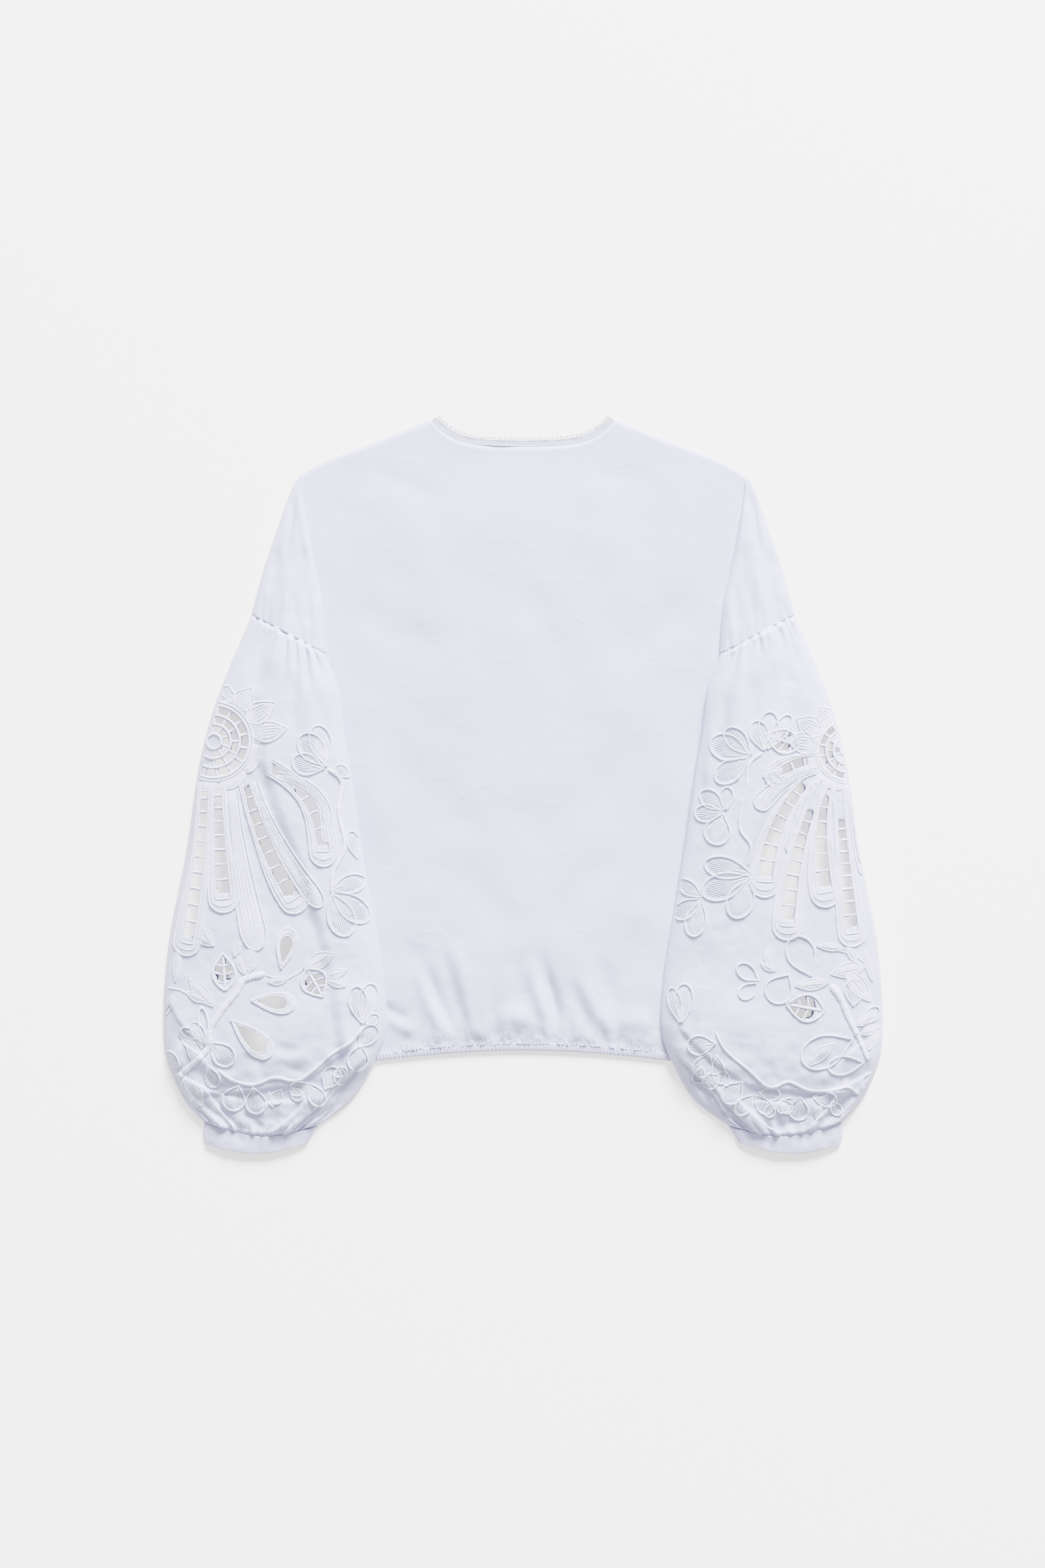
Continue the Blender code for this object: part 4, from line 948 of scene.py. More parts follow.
# where the cloth is folded over itself its surface drops a step across the fold's edge
def steps(out, y):
    total = np.zeros_like(out)
    for x0, y0, x1, y1, bow, width, depth in sleeveLook["steps"]:
        t, across = linePlace(out, y, x0, y0, x1, y1, bow)
        fade = smoothStep(t * 4.0) * smoothStep((1.0 - t) * 4.0)
        drop = smoothStep(0.5 + across / width) - 0.5
        total += depth * fade * drop * bell(across / (6 * width))
    return total


def sleeveUnder(out, y):
    return cloth["bodyStack"] * onBody(out, y)


def sleeveUpper(out, y, seed):
    u, v = cutPlace(sleeveCut, out, y)
    loft = along(sleeveCut["loft"], v) * dome(u)
    head = np.clip(cutPoint(sleeveCut, u, 0.0 * v)[1] - y, 0, None)
    foot = np.clip(y - cutPoint(sleeveCut, u, 0.0 * v + 1.0)[1], 0, None)
    calm = smoothStep(np.minimum(u, 1 - u) / 0.07)
    folds = gatherFolds(u, head, 12, seed, 5.2, 95.0, 0.10)
    folds += gatherFolds(u, head, 23, seed + 4, 3.0, 20.0, 0.0)
    folds += gatherFolds(u, foot, 13, seed + 1, 4.6, 76.0, 0.30)
    folds += gatherFolds(u, foot, 27, seed + 5, 2.2, 24.0, 0.1)
    soft = 1.5 * creases(out, y, sleeveLook["creases"]) + 0.8 * drift(out, y, 60.0, seed + 2)
    low = smoothStep((-215.0 - y) / 40.0)
    soft += low * (1.5 * drift(out, y, 33.0, seed + 6) + 0.4 * drift(out, y, 13.0, seed + 7))
    soft += 3.0 * np.exp(-((y + 238.0) / 36.0) ** 2)
    pucker = 0.3 * drift(out, y, 11.0, seed + 3) * smoothStep((70.0 - y) / 40.0)
    folds *= smoothStep((head + 0.3) / 6.0) * smoothStep((foot + 1.0) / 4.0)
    seam = -0.25 * np.exp(-(head / 1.2) ** 2) - 0.9 * np.exp(-(foot / 1.9) ** 2)
    top = sleeveUnder(out, y) + cloth["layer"] + loft + seam + (folds + soft + pucker) * calm
    top = top + steps(out, y) * smoothStep(np.minimum(u, 1 - u) / 0.05)
    return np.maximum(top, sleeveUnder(out, y) + 1.0)


def sleeveSkin(sleeve, out, y):
    return sleeveUpper(out, y, 11 if sleeve["side"] < 0 else 31) + 0.55


def makeSleeveUpper(sleeve, holes):
    side = sleeve["side"]
    v = np.linspace(0.0, 1.0, sleeveLook["rows"])[:, None]
    s = np.linspace(0.0, 1.0, sleeveLook["columns"])[None, :]
    u = 0.6 * s + 0.4 * (0.5 - 0.5 * np.cos(np.pi * s)) + 0 * v
    out, y = cutPoint(sleeveCut, u, v + 0 * u)
    out, y, faces = cutHoles(out, y, gridFaces(*out.shape), holes, 1.0)
    z = sleeveSkin(sleeve, out, y) - 0.3
    y[0] += 1.1    # tucked in under the shoulder's seam and under the cuff
    y[-1] -= 0.9
    rows, columns = out.shape
    # both long edges roll down and in, over the edge of the layer below
    rollOut, rollZ = np.array([[0.25, -0.1, -1.6]]), np.array([[-0.5, -1.0, -1.2]])
    flat = np.stack([out, y, z], -1)
    outer, inner = flat[:, :1], flat[:, -1:]
    outerRoll = outer + np.stack([rollOut[:, ::-1], 0 * rollOut, rollZ[:, ::-1]], -1)
    innerRoll = inner + np.stack([-rollOut, 0 * rollOut, rollZ], -1)
    extra = np.concatenate([outerRoll, outer, inner, innerRoll], axis=1)
    extra[..., 2] = np.maximum(extra[..., 2], 0.3)  # none of it goes into the table
    ends = gridFaces(rows, 8)
    ends = ends[(np.arange(len(ends)) % 7) != 3] + rows * columns
    points = np.concatenate([flat.reshape(-1, 3), extra.reshape(-1, 3)]) * (side, 1, 1)
    name = "sleeve" + sleeve["name"]
    mesh = meshFrom(name, points, np.concatenate([faces, ends]), points[:, :2], flip=side > 0)

    def nearSeams(x, y):
        u, v = cutPlace(sleeveCut, np.abs(x), y)
        head = np.clip(cutPoint(sleeveCut, u, 0.0 * v)[1] - y, 0, None)
        foot = np.clip(y - cutPoint(sleeveCut, u, 0.0 * v + 1.0)[1], 0, None)
        return 0.45 * bell(head / 9.0) + 0.7 * bell(foot / 10.0) + 0.35 * bell(foot / 45.0)

    markGathers(mesh, nearSeams)
    node = nodeOf("sleeve_", side, "_upper")
    return addPiece(name, mesh, poplin, [node], cloth["wall"])


def makeSleeveUnder(sleeve, holes):
    side = sleeve["side"]
    v = np.linspace(0.0, 1.0, sleeveLook["underRows"])[:, None]
    u = np.linspace(0.008, 0.992, sleeveLook["underColumns"])[None, :] + 0 * v
    out, y = cutPoint(sleeveCut, u, v + 0 * u)
    wider = [hole + (hole - hole.mean(0)) * 0.12 for hole in holes]
    out, y, faces = cutHoles(out, y, gridFaces(*out.shape), wider, 1.6)
    z = sleeveUnder(out, y) + 0.4
    points = np.stack([side * out, y, z], -1)
    name = "sleeveUnder" + sleeve["name"]
    mesh = meshFrom(name, points, faces, points[..., :2], flip=side > 0)
    node = nodeOf("sleeve_", side, "_under")
    return addPiece(name, mesh, poplin, [node], cloth["wall"])


# Threads laid on the sleeves

def smoothPath(places, step, closed=False):
    places = np.asarray(places, float)
    fine = np.linspace(0, 1, 8 * len(places))
    if closed:
        count = len(places)
        places = np.concatenate([places[-2:], places, places[:3]])
        fine = (2 + count * fine) / (count + 4)
    curve = np.stack([along(places[:, 0], fine), along(places[:, 1], fine)], -1)
    length = runAlong(curve)
    count = max(int(length[-1] / step) + 1, 4)
    even = np.linspace(0, length[-1], count)
    return placesAt(curve, even)


# a half-round profile carried along a path on the sleeve: wide across, tall above, a little sunk below
def cordMesh(sleeve, path, half, tall, taper=True):
    count = len(path)
    tangent = np.gradient(path, axis=0)
    tangent /= np.linalg.norm(tangent, axis=1)[:, None] + 1e-9
    normal = squareTo(tangent)
    angle = np.radians([0, 36, 72, 108, 144, 180, 216, 324])
    across = np.cos(angle)
    lift = np.where(np.sin(angle) > 0, np.sin(angle), -0.12)
    t = np.linspace(0, 1, count)
    rounded = np.clip(np.minimum(t, 1 - t) * count / 2.5 + 0.25, 0, 1) ** 0.5
    size = rounded if taper else np.full(count, 1.0)
    k = np.arange(count)
    size = size * (1.0 + 0.09 * np.sin(k * 2.4 + path[0, 0]) + 0.05 * np.sin(k * 5.3))
    wide = np.linspace(*half, count) * size if isinstance(half, tuple) else half * size
    place = path[:, None] + normal[:, None] * (across[None, :] * wide[:, None])[..., None]
    base = sleeveSkin(sleeve, place[..., 0], place[..., 1])
    z = base + lift[None, :] * (tall * size)[:, None]
    points = np.concatenate([place, z[..., None]], -1)
    run = runAlong(path)
    uv = np.stack([run[:, None] + 0 * across[None, :], 0 * run[:, None] + across[None, :] * 2], -1)
    last = (count - 1) * 8
    caps = np.array([(0, 1, 6, 7), (1, 2, 5, 6), (2, 3, 4, 5)])
    faces = np.concatenate([gridFaces(count, 8, True), caps[:, ::-1], caps + last])
    return points.reshape(-1, 3), faces, uv.reshape(-1, 2)


# a patch of satin stitch: a grid of places lifted in a soft bank that dips into the cloth at its edges
def patchMesh(sleeve, grid, tall):
    rows, columns = grid.shape[:2]
    t = np.linspace(-1, 1, columns)[None, :]
    s = np.linspace(0, 1, rows)[:, None]
    ends = smoothStep(np.minimum(s, 1 - s) * 8.0)
    bank = np.sqrt(np.clip(1 - t ** 4, 0, 1)) * (0.25 + 0.75 * ends)
    z = sleeveSkin(sleeve, grid[..., 0], grid[..., 1]) + tall * bank - 0.12
    points = np.concatenate([grid, z[..., None]], -1)
    step = np.linalg.norm(np.diff(grid.mean(1), axis=0), axis=1)
    run = np.concatenate([[0], np.cumsum(step)])[:, None]
    wide = np.linalg.norm(grid[:, -1] - grid[:, 0], axis=-1)[:, None]
    uv = np.stack([run + 0 * t, wide * t * 0.5], -1)
    return points.reshape(-1, 3), gridFaces(rows, columns), uv.reshape(-1, 2)


def joined(name, parts, sleeve, finish):
    points, faces, uvs, shift = [], [], [], 0
    for part, face, uv in parts:
        points.append(part)
        faces.append(face + shift)
        uvs.append(uv)
        shift += len(part)
    points = np.concatenate(points) * (sleeve["side"], 1, 1)
    mesh = meshFrom(name, points, np.concatenate(faces), np.concatenate(uvs))
    normals = np.zeros(len(mesh.polygons) * 3)
    mesh.polygons.foreach_get("normal", normals)
    up = normals.reshape(-1, 3)[:, 2].sum() > 0
    if not up and name.startswith("satin"):
        mesh.flip_normals()
    print(name, "has", len(mesh.polygons), "faces")
    return addPiece(name, mesh, finish)


def inSleeve(path, edge, margin=1.2):
    keep = insideLoop(path, edge) & (loopPlace(path, edge)[0] > margin)
    if keep.all():
        return [path]
    runs, start = [], None
    for i, ok in enumerate(np.append(keep, False)):
        if ok and start is None:
            start = i
        if not ok and start is not None:
            if i - start > 3:
                runs.append(path[start:i])
            start = None
    return runs


def embroider(sleeve):
    edge = sleeveEdge()
    cords, patches = [], []

    def cord(places, half, tall, step=1.5, closed=False, smooth=True):
        path = smoothPath(places, step, closed) if smooth else np.asarray(places, float)
        for run in inSleeve(path, edge):
            cords.append(cordMesh(sleeve, run, half, tall, taper=not (closed and len(run) == len(path))))

    def patch(grid, tall):
        margin = insideLoop(grid.reshape(-1, 2), edge) & (loopPlace(grid.reshape(-1, 2), edge)[0] > 0.8)
        rows = margin.reshape(grid.shape[:2]).all(1)
        if rows.sum() > 3:
            first, last = np.where(rows)[0][[0, -1]]
            if rows[first:last + 1].all():
                patches.append(patchMesh(sleeve, grid[first:last + 1], tall))

    full = np.linspace(0, 2 * np.pi, 120)
    for radius, half in rosette["cords"]:
        cord(rosettePoint(sleeve, radius, full[:-1]), half, 1.5, 1.4, closed=True)
    for cells, inner, outer, bar in rosette["rings"]:
        for k in range(cells):
            angle = 2 * np.pi * k / cells
            spoke = rosettePoint(sleeve, np.linspace(inner - 1.2, outer + 1.2, 5), np.full(5, angle))
            cord(spoke, 0.9, 0.8, smooth=False)
    radius, width, scallop = rosette["collar"]
    for k in range(9):  # scallops of satin stitch all round
        a = np.radians(np.linspace(-200 + 40 * k - 96, -200 + 40 * k - 56, 16))
        swell = np.sin(np.linspace(0, np.pi, 16)) ** 0.6
        inner = rosettePoint(sleeve, np.full(16, radius), a)
        outer = rosettePoint(sleeve, radius + width + scallop * swell, a)
        grid = inner[:, None] + (outer - inner)[:, None] * np.linspace(0, 1, 6)[None, :, None]
        patch(grid, 1.1)
        cord(outer, 0.8, 1.1, 1.2)
    for angle, start, length, wide in rosette["lobes"]:
        base = rosettePoint(sleeve, start, np.radians(angle))
        lobe = (base[0], base[1], 90 - angle, length * sleeve["rosette"][2], wide)
        patch(leafGrid(lobe, 0.8), 1.1)
        cord(leafRim(lobe, 0.8), 0.9, 1.4, 1.2, closed=True)
        for lean in (-0.66, -0.33, 0.0, 0.33, 0.66):
            s = np.linspace(0.2, 0.92 - 0.3 * lean ** 2, 8)
            cord(turned(*lobe[:3], lobe[3] * s, 0.9 * lean * leafHalf(lobe[4], s, 0.8)), 0.5, 1.6,
                 smooth=False)

    for petal in sleeve["petals"]:
        edges = petalEdges(petal)
        rung = 1.4 / np.hypot(petal[2] - petal[0], petal[3] - petal[1])
        for t in edges[1:-1] - rung:
            half = petalHalf(petal, t)
            reach = np.linspace(-half - 0.8, half + 0.8, 5)
            cord(petalPoint(petal, np.full(5, t), reach), 1.0, 0.9, smooth=False)
        # a satin band follows the opening down one side, round the tip and back, wider at the tip
        t = np.concatenate([np.linspace(-0.02, 0.985, 34), np.full(10, 1.0), np.linspace(0.985, -0.02, 34)])
        turn = np.concatenate([np.full(34, -1.0), np.sin(np.linspace(-1.3, 1.3, 10)), np.full(34, 1.0)])
        reach = np.concatenate([np.zeros(34), np.cos(np.linspace(-1.3, 1.3, 10)), np.zeros(34)])
        half = petalHalf(petal, t)
        band = 2.2 + 4.2 * smoothStep((t - 0.35) / 0.6)
        length = np.hypot(petal[2] - petal[0], petal[3] - petal[1])
        inner = petalPoint(petal, t + reach * 0.5 / length, turn * (half + 0.7))
        outer = petalPoint(petal, t + reach * (half + band) / length, turn * (half + 0.7 + band))
        patch(inner[:, None] + (outer - inner)[:, None] * np.linspace(0, 1, 7)[None, :, None], 1.1)
        cord(inner, 0.9, 1.4, 1.4)
        cord(outer, 1.05, 1.6, 1.4)
        cord((inner + (outer - inner) * 0.55)[10:-10], 0.5, 1.7, 1.4)
    for petal in sleeve["filled"]:
        t = np.linspace(0.0, 1.0, 60)
        half = petalHalf(petal, t) * np.sqrt(np.clip(1 - (np.clip(t - 0.86, 0, 1) / 0.14) ** 2, 0, 1))
        across = np.linspace(-1, 1, 11)[None, :]
        grid = petalPoint(petal, t[:, None] + 0 * across, half[:, None] * across)
        patch(grid, 1.3)
        around = np.concatenate([t, t[::-1]])
        both = np.concatenate([-half - 1.2, half[::-1] + 1.2])
        cord(petalPoint(petal, around * 1.01, both), 0.9, 1.4, 1.4)
        for lean in (-0.62, -0.28, 0.08, 0.42, 0.7):  # rows of stitches follow the petal
            part = t[4:-6 - int(6 * abs(lean))]
            cord(petalPoint(petal, part, lean * petalHalf(petal, part)), 0.5, 1.75, 1.5)

    for drop in sleeve["drops"]:
        inner, outer = dropLoop(drop, 48, 0.4), dropLoop(drop, 48, 4.2, 3.0)
        grid = inner[:, None] + (outer - inner)[:, None] * np.linspace(0, 1, 7)[None, :, None]
        patch(np.concatenate([grid, grid[:1]]), 1.3)
        cord(inner, 0.8, 1.2, 1.3, closed=True)
        cord(outer, 1.0, 1.5, 1.3, closed=True)
    for lattice in sleeve["lattices"]:
        leaf = latticeLeaf(lattice)
        cord(leafRim(leaf, 0.85), 1.2, 1.6, 1.3, closed=True)
        rib = turned(*leaf[:3], np.linspace(0, leaf[3] * 0.95, 12), 0 * np.linspace(0, 1, 12))
        cord(rib, 1.1, 1.1, smooth=False)
        for k in range(lattice[5] + 1):
            s = 0.16 + 0.68 * k / lattice[5] + 1.1 / leaf[3]
            for across in (-1, 1):
                reach = np.linspace(0.8, leafHalf(leaf[4], s, 0.85) - 0.4, 5)
                cord(turned(*leaf[:3], leaf[3] * s + 3.0 * np.linspace(0, 1, 5), across * reach), 0.8, 0.8,
                     smooth=False)
    for fan in sleeve["fans"]:
        cord(leafRim(fan, "arc"), 0.95, 1.6, 1.2, closed=True)
        veins = max(int(fan[4] / 2.2), 4)
        for k in range(veins):  # fine stitches spread from the base to the rim
            lean = (k + 0.5) / veins * 2 - 1
            s = np.linspace(0.12 + 0.1 * (k % 2), 0.93 - 0.34 * lean ** 2, 9)
            cord(turned(fan[0], fan[1], fan[2], fan[3] * s, 0.9 * lean * petalArc(fan[4], s * 0.6 + 0.02)),
                 0.55, 0.9, smooth=False)
        rib = np.linspace(0.02, 0.5, 8)
        cord(turned(fan[0], fan[1], fan[2], fan[3] * rib, 0 * rib), (1.5, 0.4), 1.2, smooth=False)
    for leaf in sleeve["leaves"]:
        patch(leafGrid(leaf, 1.0), 1.3)
        cord(leafRim(leaf, 1.0), 0.8, 1.2, 1.2, closed=True)
        rib = np.linspace(0.08, 0.9, 10)
        cord(turned(*leaf[:3], leaf[3] * rib, 0 * rib), 0.5, 1.7, smooth=False)
    for ring in sleeve["rings"]:
        cord(leafRim(ring, "arc", count=30), 1.05, 1.6, 1.3, closed=True)
    for first, second, tall, places in sleeve["cords"]:
        cord(places, (first, second), tall, 1.4)

    threads = joined("cords" + sleeve["name"], cords, sleeve, cordThread)
    satin = joined("satin" + sleeve["name"], patches, sleeve, satinThread)
    return threads, satin


def leafGrid(leaf, full):
    s = np.linspace(0.03, 0.985, 26)[:, None]
    t = np.linspace(-1, 1, 11)[None, :]
    half = shapeHalf(leaf[4], s, full) * 0.96
    return turned(leaf[0], leaf[1], leaf[2], leaf[3] * s + 0 * t, half * t)


for sleeve in (leftSleeve, rightSleeve):
    holes = sleeveHoles(sleeve)
    print("sleeve", sleeve["name"], "has", len(holes), "cuts")
    (makeSleeveUpper(sleeve, holes), makeSleeveUnder(sleeve, holes)) + embroider(sleeve)
print("sleeves made")


# Cuffs, flattened rings that are round at both ends

cuffLook = {
    "rim": 2.5, "loft": 8.3,
    "outerOut": [296.0, 297.0, 294.5], "outerY": [-315.0, -326.0, -334.9],
    "innerOut": [192.0, 197.0, 200.5], "innerY": [-318.5, -327.0, -333.4], "sag": [10.5, 10.0, 8.87],
    "creases": [(270, -320, 262, -338, 1, 4, -0.7), (226, -328, 232, -342, 0, 4, -0.6),
                (288, -318, 290, -336, 0, 3, 0.6), (206, -322, 212, -340, 0, 3, -0.5)],
}


def makeCuff(side, name):
    around = np.linspace(0.0, 2.0 * np.pi, 151)[:-1][None, :]
    v = np.linspace(0.0, 1.0, 20)[:, None]
    across = np.cos(around) + 0 * v
    above = np.sin(around) >= 0
    rim, loft = cuffLook["rim"], cuffLook["loft"]
    z = np.where(above, rim + (loft - rim) * np.sqrt(1 - np.abs(across) ** 3),
                 rim * (1 - np.sqrt(1 - np.abs(across) ** 6)))
    u = 0.5 - 0.5 * across
    outer, inner = along(cuffLook["outerOut"], v), along(cuffLook["innerOut"], v)
    outerY, innerY = along(cuffLook["outerY"], v), along(cuffLook["innerY"], v)
    out = outer + (inner - outer) * u
    y = outerY + (innerY - outerY) * u - along(cuffLook["sag"], v) * np.sin(np.pi * u)
    z = z + np.where(above, 1.5 * creases(out, y, cuffLook["creases"]) + 0.6 * drift(out, y, 18.0, 9), 0.0)
    z = np.where(above, z - 0.3 - 2.2 * v * (z - rim) / (loft - rim), z + 0.3)
    points = np.stack([side * out, y, z], -1)
    uv = np.stack([out, y], -1)
    mesh = meshFrom(name, points, gridFaces(20, 150, True), uv, flip=side < 0)
    node = nodeOf("cuff_", side)
    return addPiece(name, mesh, poplin, [node], 0.6)


cuffs = [makeCuff(-1, "cuffLeft"), makeCuff(1, "cuffRight")]
print("cuffs made")


# Neck binding and lace

neckLook = {"width": 6.0, "thick": 1.5, "picot": 2.4, "stitch": 2.5}


def curvePath(curve, half, count, offset):
    x = half * np.sin(np.linspace(-1, 1, count) * np.pi / 2)
    y = curve(x)
    slope = np.gradient(y, x)
    size = np.hypot(1.0, slope)
    return np.stack([x - slope / size * offset, y + offset / size], -1)


# a band carried along a path: its profile is a low loop of offsets and heights
def bandMesh(name, path, width, bottom, thick, ribs=None, droop=0.0):
    tangent = np.gradient(path, axis=0)
    tangent /= np.linalg.norm(tangent, axis=1)[:, None]
    normal = squareTo(tangent)
    soft = 0.28 * thick
    offset = np.array([0, 0, soft, 0.25 * width, 0.5 * width, 0.75 * width, width - soft, width, width,
                       width - soft, 0.5 * width, soft])
    lift = np.array([soft, thick - soft, thick - 0.1, thick, thick, thick, thick - 0.1, thick - soft, soft,
                     0.05, 0.0, 0.05])
    lift = np.where(lift > 0.5 * thick, lift - droop * (1.0 - offset / width) ** 2, lift)
    run = runAlong(path)
    height = np.tile(lift, (len(path), 1))
    if ribs is not None:
        height = height + np.where(lift[None, :] > 0.5 * thick, ribs(run)[:, None], 0.0)
    place = path[:, None] + normal[:, None] * offset[None, :, None]
    points = np.concatenate([place, bottom + height[..., None]], -1)
    faces = gridFaces(len(path), 12, True)
    caps = np.array([(0, 1, 2, 11), (2, 3, 10, 11), (3, 4, 5, 10), (5, 6, 9, 10), (6, 7, 8, 9)])
    faces = np.concatenate([faces, caps[:, ::-1], caps + (len(path) - 1) * 12])
    uv = np.stack([run[:, None] + 0 * offset, 0 * run[:, None] + offset], -1)
    mesh = meshFrom(name, points, faces, uv)
    mesh.flip_normals()
    return mesh


# many small stitches: each is a bead of a few faces, stretched along its own direction
def stitches(name, places, directions, bases, length, thick, finish):
    ring, stacks = 6, 4
    t = np.linspace(-1, 1, stacks + 1)
    a = np.linspace(0, 2 * np.pi, ring, endpoint=False)
    size = np.sqrt(np.clip(1 - t ** 2, 0.04, 1))
    local = np.stack([np.repeat(t, ring) * 0.5 * length, np.outer(size, np.cos(a)).ravel() * 0.5 * thick,
                      np.outer(size, np.sin(a)).ravel() * 0.5 * thick], -1)
    normal = squareTo(directions)
    flat = places[:, None] + directions[:, None] * local[None, :, :1] + normal[:, None] * local[None, :, 1:2]
    z = bases[:, None] + local[None, :, 2]
    points = np.concatenate([flat, z[..., None]], -1)
    one = gridFaces(stacks + 1, ring, True)
    caps = np.array([(0, 1, 2, 3), (3, 4, 5, 0)])
    one = np.concatenate([one, caps[:, ::-1], caps + stacks * ring])
    faces = (one[None] + (np.arange(len(places)) * len(local))[:, None, None]).reshape(-1, 4)
    uv = np.tile(local[:, :2], (len(places), 1))
    mesh = meshFrom(name, points.reshape(-1, 3), faces, uv)
    return addPiece(name, mesh, finish)


def evenPlaces(path, pitch):
    run = runAlong(path)
    even = np.arange(pitch, run[-1] - pitch, pitch)
    places = placesAt(path, even)
    ahead = placesAt(path, even + 0.5)
    directions = ahead - places
    return places, directions / np.linalg.norm(directions, axis=1)[:, None]


# picots: little loops of thread standing side by side along the edge; their near-black tone is painted shade
# between the loops
def makeLace(name, path, base, node):
    places, directions = evenPlaces(path, neckLook["picot"])
    rng = np.random.RandomState(4)
    a = np.linspace(0, 2 * np.pi, 11, endpoint=False)
    b = np.linspace(0, 2 * np.pi, 5, endpoint=False)
    radius, thread = 0.85, 0.3
    ring = radius + thread * np.cos(b)[None, :]
    local = np.stack([np.cos(a)[:, None] * ring, np.sin(a)[:, None] * ring * 1.1 + radius,
                      thread * np.sin(b)[None, :] + 0 * a[:, None]], -1).reshape(-1, 3)
    size = np.where(np.arange(len(places)) % 2 == 0, 1.1, 0.6)  # every other picot is a small one
    size = (size + rng.uniform(-0.15, 0.15, len(places)))[:, None, None]
    normal = squareTo(directions)
    lean = rng.uniform(-0.2, 0.2, len(places))[:, None]
    ahead = local[None, :, :1] * size + lean[..., None] * local[None, :, 1:2]
    flat = places[:, None] + directions[:, None] * ahead + normal[:, None] * local[None, :, 1:2] * size
    z = base + local[None, :, 2] + rng.uniform(-0.15, 0.15, len(places))[:, None]
    points = np.concatenate([flat, z[..., None]], -1)
    index = np.arange(55).reshape(11, 5)
    index = np.concatenate([index, index[:1]])
    index = np.concatenate([index, index[:, :1]], axis=1)
    one = np.stack([index[:-1, :-1], index[1:, :-1], index[1:, 1:], index[:-1, 1:]], -1).reshape(-1, 4)
    faces = (one[None] + (np.arange(len(places)) * 55)[:, None, None]).reshape(-1, 4)
    mesh = meshFrom(name, points.reshape(-1, 3), faces, np.tile(local[:, :2], (len(places), 1)))
    return addPiece(name, mesh, paintedShadeLace, [node])


def makeNeck():
    half = bodyCut["neckHalf"] - 1.0
    width, thick = neckLook["width"], neckLook["thick"]
    layer = cloth["layer"]
    back = curvePath(neckCurve, half, 200, 0.0)
    front = curvePath(frontNeckCurve, half - 1.0, 120, 0.0)
    wavy = np.random.RandomState(2).uniform(0, 6.28, 3)

    def ripple(run):
        return 0.12 * np.sin(run / 5.1 + wavy[0]) + 0.1 * np.sin(run / 2.3 + wavy[1])

    pieces = [
        addPiece("bindingBack", bandMesh("bindingBack", back, width, layer, thick, ripple), bindingCloth,
                 ["neck_binding_back"]),
        addPiece("bindingFront", bandMesh("bindingFront", front, width, 0.0, 1.0), bindingCloth,
                 ["neck_binding_front"]),
        makeLace("laceBack", curvePath(neckCurve, half, 300, width + 0.1), layer + 0.55, "neck_lace_back"),
        makeLace("laceFront", curvePath(frontNeckCurve, half - 1.0, 200, width + 0.1), 0.45,
                 "neck_lace_front"),
    ]
    rows = [evenPlaces(curvePath(neckCurve, half, 300, offset), neckLook["stitch"]) for offset in (0.6, 5.4)]
    places = np.concatenate([row[0] for row in rows])
    directions = np.concatenate([row[1] for row in rows])
    bases = np.full(len(places), layer + thick + 0.05)
    pieces.append(stitches("bindingStitches", places, directions, bases, 2.3, 0.95, seamThread))
    return pieces


makeNeck()
print("neck made")


# Hem casing, puckered by its elastic

hemLook = {"pucker": 3.3, "height": 0.32, "thick": 2.2, "stitch": 2.5}


def makeHem():
    half, height = bodyCut["hemHalf"], bodyCut["hemHeight"]
    x = np.linspace(-half, half, 760)
    path = np.stack([x, hemCurve(x)], -1)
    rng = np.random.RandomState(8)
    shift = rng.uniform(0, 6.28, 3)

    def ribs(run):
        uneven = run / hemLook["pucker"]
        uneven = uneven + 0.35 * np.sin(run / 11.0 + shift[0]) + 0.2 * np.sin(run / 4.7 + shift[1])
        deep = 0.75 + 0.25 * np.sin(run / 17.0 + shift[2])
        return hemLook["height"] * deep * np.sin(uneven * 2 * np.pi)

    thick = hemLook["thick"]
    pieces = [
        addPiece("hemBack", bandMesh("hemBack", path, height, thick + 0.3, thick - 0.3, ribs, 0.9), poplin,
                 ["hem_band_back"]),
        addPiece("hemFront", bandMesh("hemFront", path[::4], height, 0.0, thick - 0.3, None), poplin,
                 ["hem_band_front"]),
    ]
    places, directions = evenPlaces(path + (0.0, height - 0.4), hemLook["stitch"])
    places = places + (0.0, 1.0) * rng.uniform(-0.35, 0.35, (len(places), 1))
    bases = backTop(places[:, 0], 0.4 + places[:, 1]) + 0.7
    pieces.append(stitches("hemStitches", places, directions, bases, 2.1, 1.1, seamThread))
    return pieces


makeHem()
print("hem made")


# Floor, light and camera

studioLook = {
    "nearTone": (0.985, 0.97, 0.85, 1.0),    # a warm white that the cool lamps turn neutral
    "farTone": (0.765, 0.753, 0.66, 1.0),    # and a greyer one on the lamp's side
    "floorGlow": 1.15,                       # the table is lit a little from below
    "skyTone": (0.96, 0.98, 1.12, 1.0), "sky": 1.12,
    "keyTone": (0.96, 0.98, 1.12), "keyPower": 3050.0, "keySize": 2.1,
    "keyPlace": (1.3, 4.65, 2.65),            # beyond the neck, low enough to show every fold
}


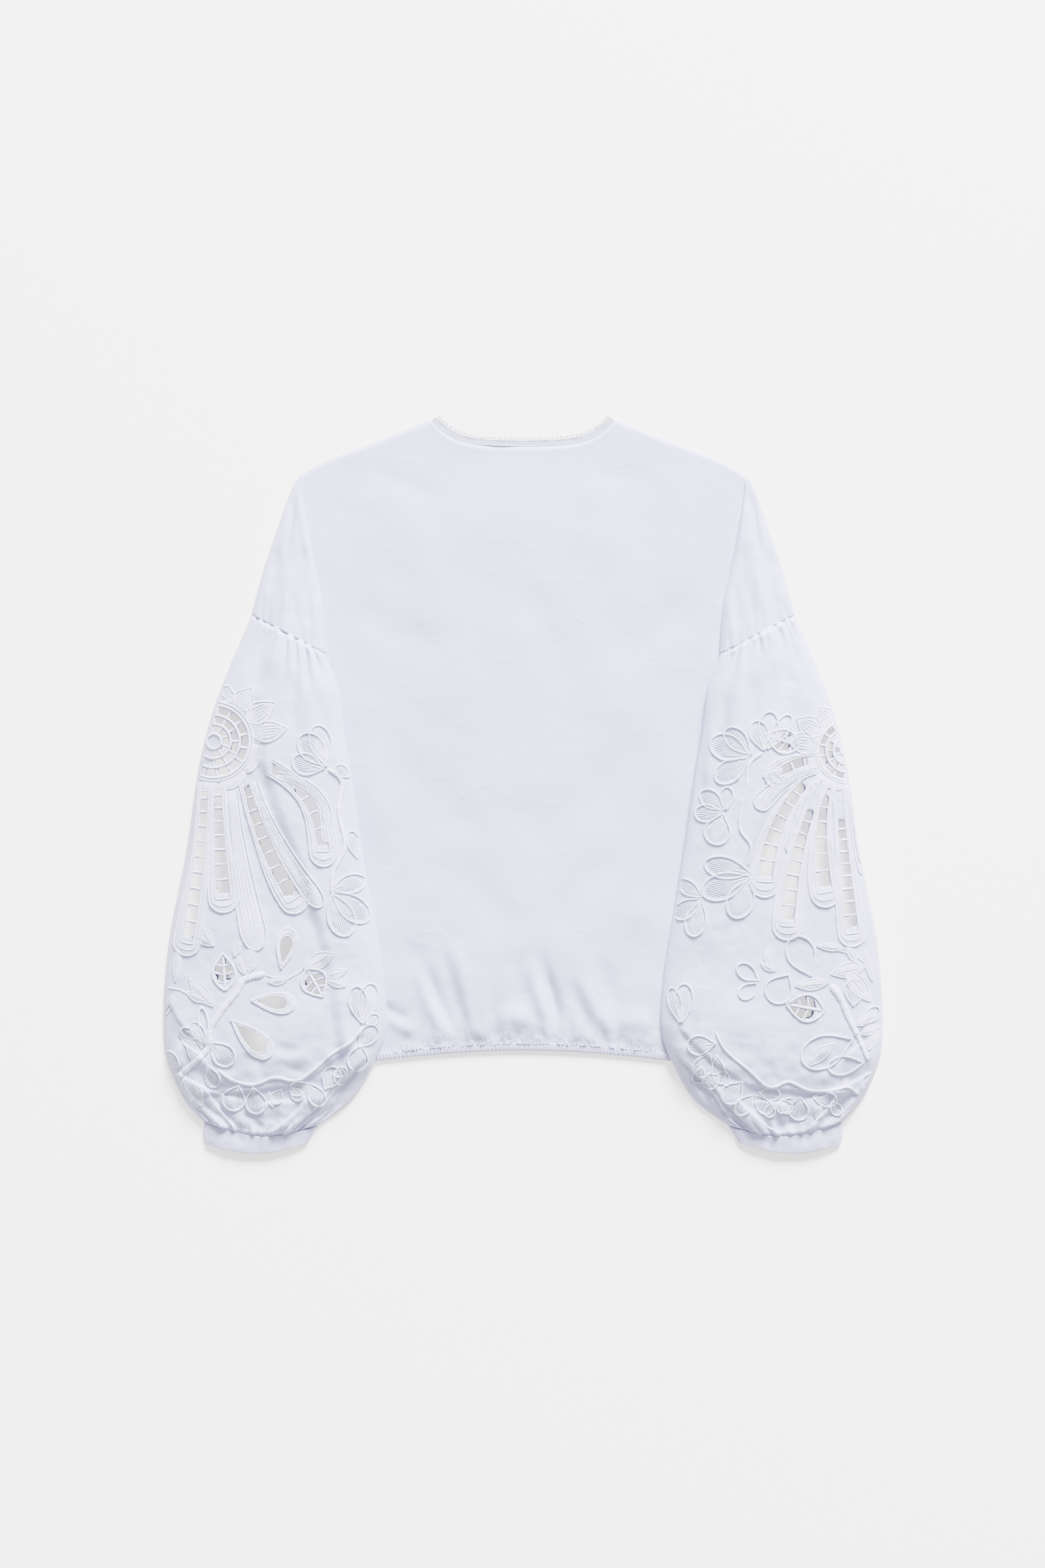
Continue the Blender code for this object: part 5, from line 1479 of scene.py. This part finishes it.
def makeStage():
    corners = [(-3000, -3000, -0.05), (3000, -3000, -0.05), (3000, 3000, -0.05), (-3000, 3000, -0.05)]
    floor = meshFrom("floor", corners, [(0, 1, 2, 3)])
    piece = bpy.data.objects.new("floor", floor)
    bpy.context.scene.collection.objects.link(piece)
    paper = bpy.data.materials.new("palePaper")
    paper.use_nodes = True
    shader = paper.node_tree.nodes["Principled BSDF"]
    shader.inputs["Roughness"].default_value = 0.9
    shader.inputs["Specular IOR Level"].default_value = 0.1
    tree = paper.node_tree
    place = tree.nodes.new("ShaderNodeTexCoord")
    split = tree.nodes.new("ShaderNodeSeparateXYZ")
    tree.links.new(place.outputs["Object"], split.inputs[0])
    across = tree.nodes.new("ShaderNodeMapRange")
    across.inputs["From Min"].default_value, across.inputs["From Max"].default_value = -0.7, 0.7
    tree.links.new(split.outputs[1], across.inputs["Value"])
    tone = tree.nodes.new("ShaderNodeMixRGB")
    tone.inputs["Color1"].default_value = studioLook["nearTone"]
    tone.inputs["Color2"].default_value = studioLook["farTone"]
    tree.links.new(across.outputs[0], tone.inputs["Fac"])
    tree.links.new(tone.outputs[0], shader.inputs["Base Color"])
    shader.inputs["Emission Color"].default_value = (1.0, 1.0, 1.0, 1.0)
    shader.inputs["Emission Strength"].default_value = studioLook["floorGlow"]
    floor.materials.append(paper)


def makeLight():
    world = bpy.data.worlds.new("studio")
    bpy.context.scene.world = world
    world.use_nodes = True
    world.node_tree.nodes["Background"].inputs["Color"].default_value = studioLook["skyTone"]
    world.node_tree.nodes["Background"].inputs["Strength"].default_value = studioLook["sky"]
    lamp = bpy.data.lights.new("softKey", "AREA")
    lamp.size = studioLook["keySize"]
    lamp.energy = studioLook["keyPower"]
    lamp.color = studioLook["keyTone"]
    item = bpy.data.objects.new("softKey", lamp)
    item.location = studioLook["keyPlace"]
    item.rotation_euler = (-Vector(studioLook["keyPlace"])).to_track_quat("-Z", "Y").to_euler()
    bpy.context.scene.collection.objects.link(item)


def makeCamera():
    lens = bpy.data.cameras.new("camera")
    lens.lens = 100.0
    lens.sensor_width = 36.0
    lens.clip_end = 50.0
    camera = bpy.data.objects.new("camera", lens)
    bpy.context.scene.collection.objects.link(camera)
    tallView = 2352 * 0.62 * mm  # the photograph's height at the blouse
    camera.location = (-0.6 * mm, 0.0, tallView * lens.lens / lens.sensor_width)
    bpy.context.scene.camera = camera


makeStage()
makeLight()
makeCamera()
print("blouse finished")
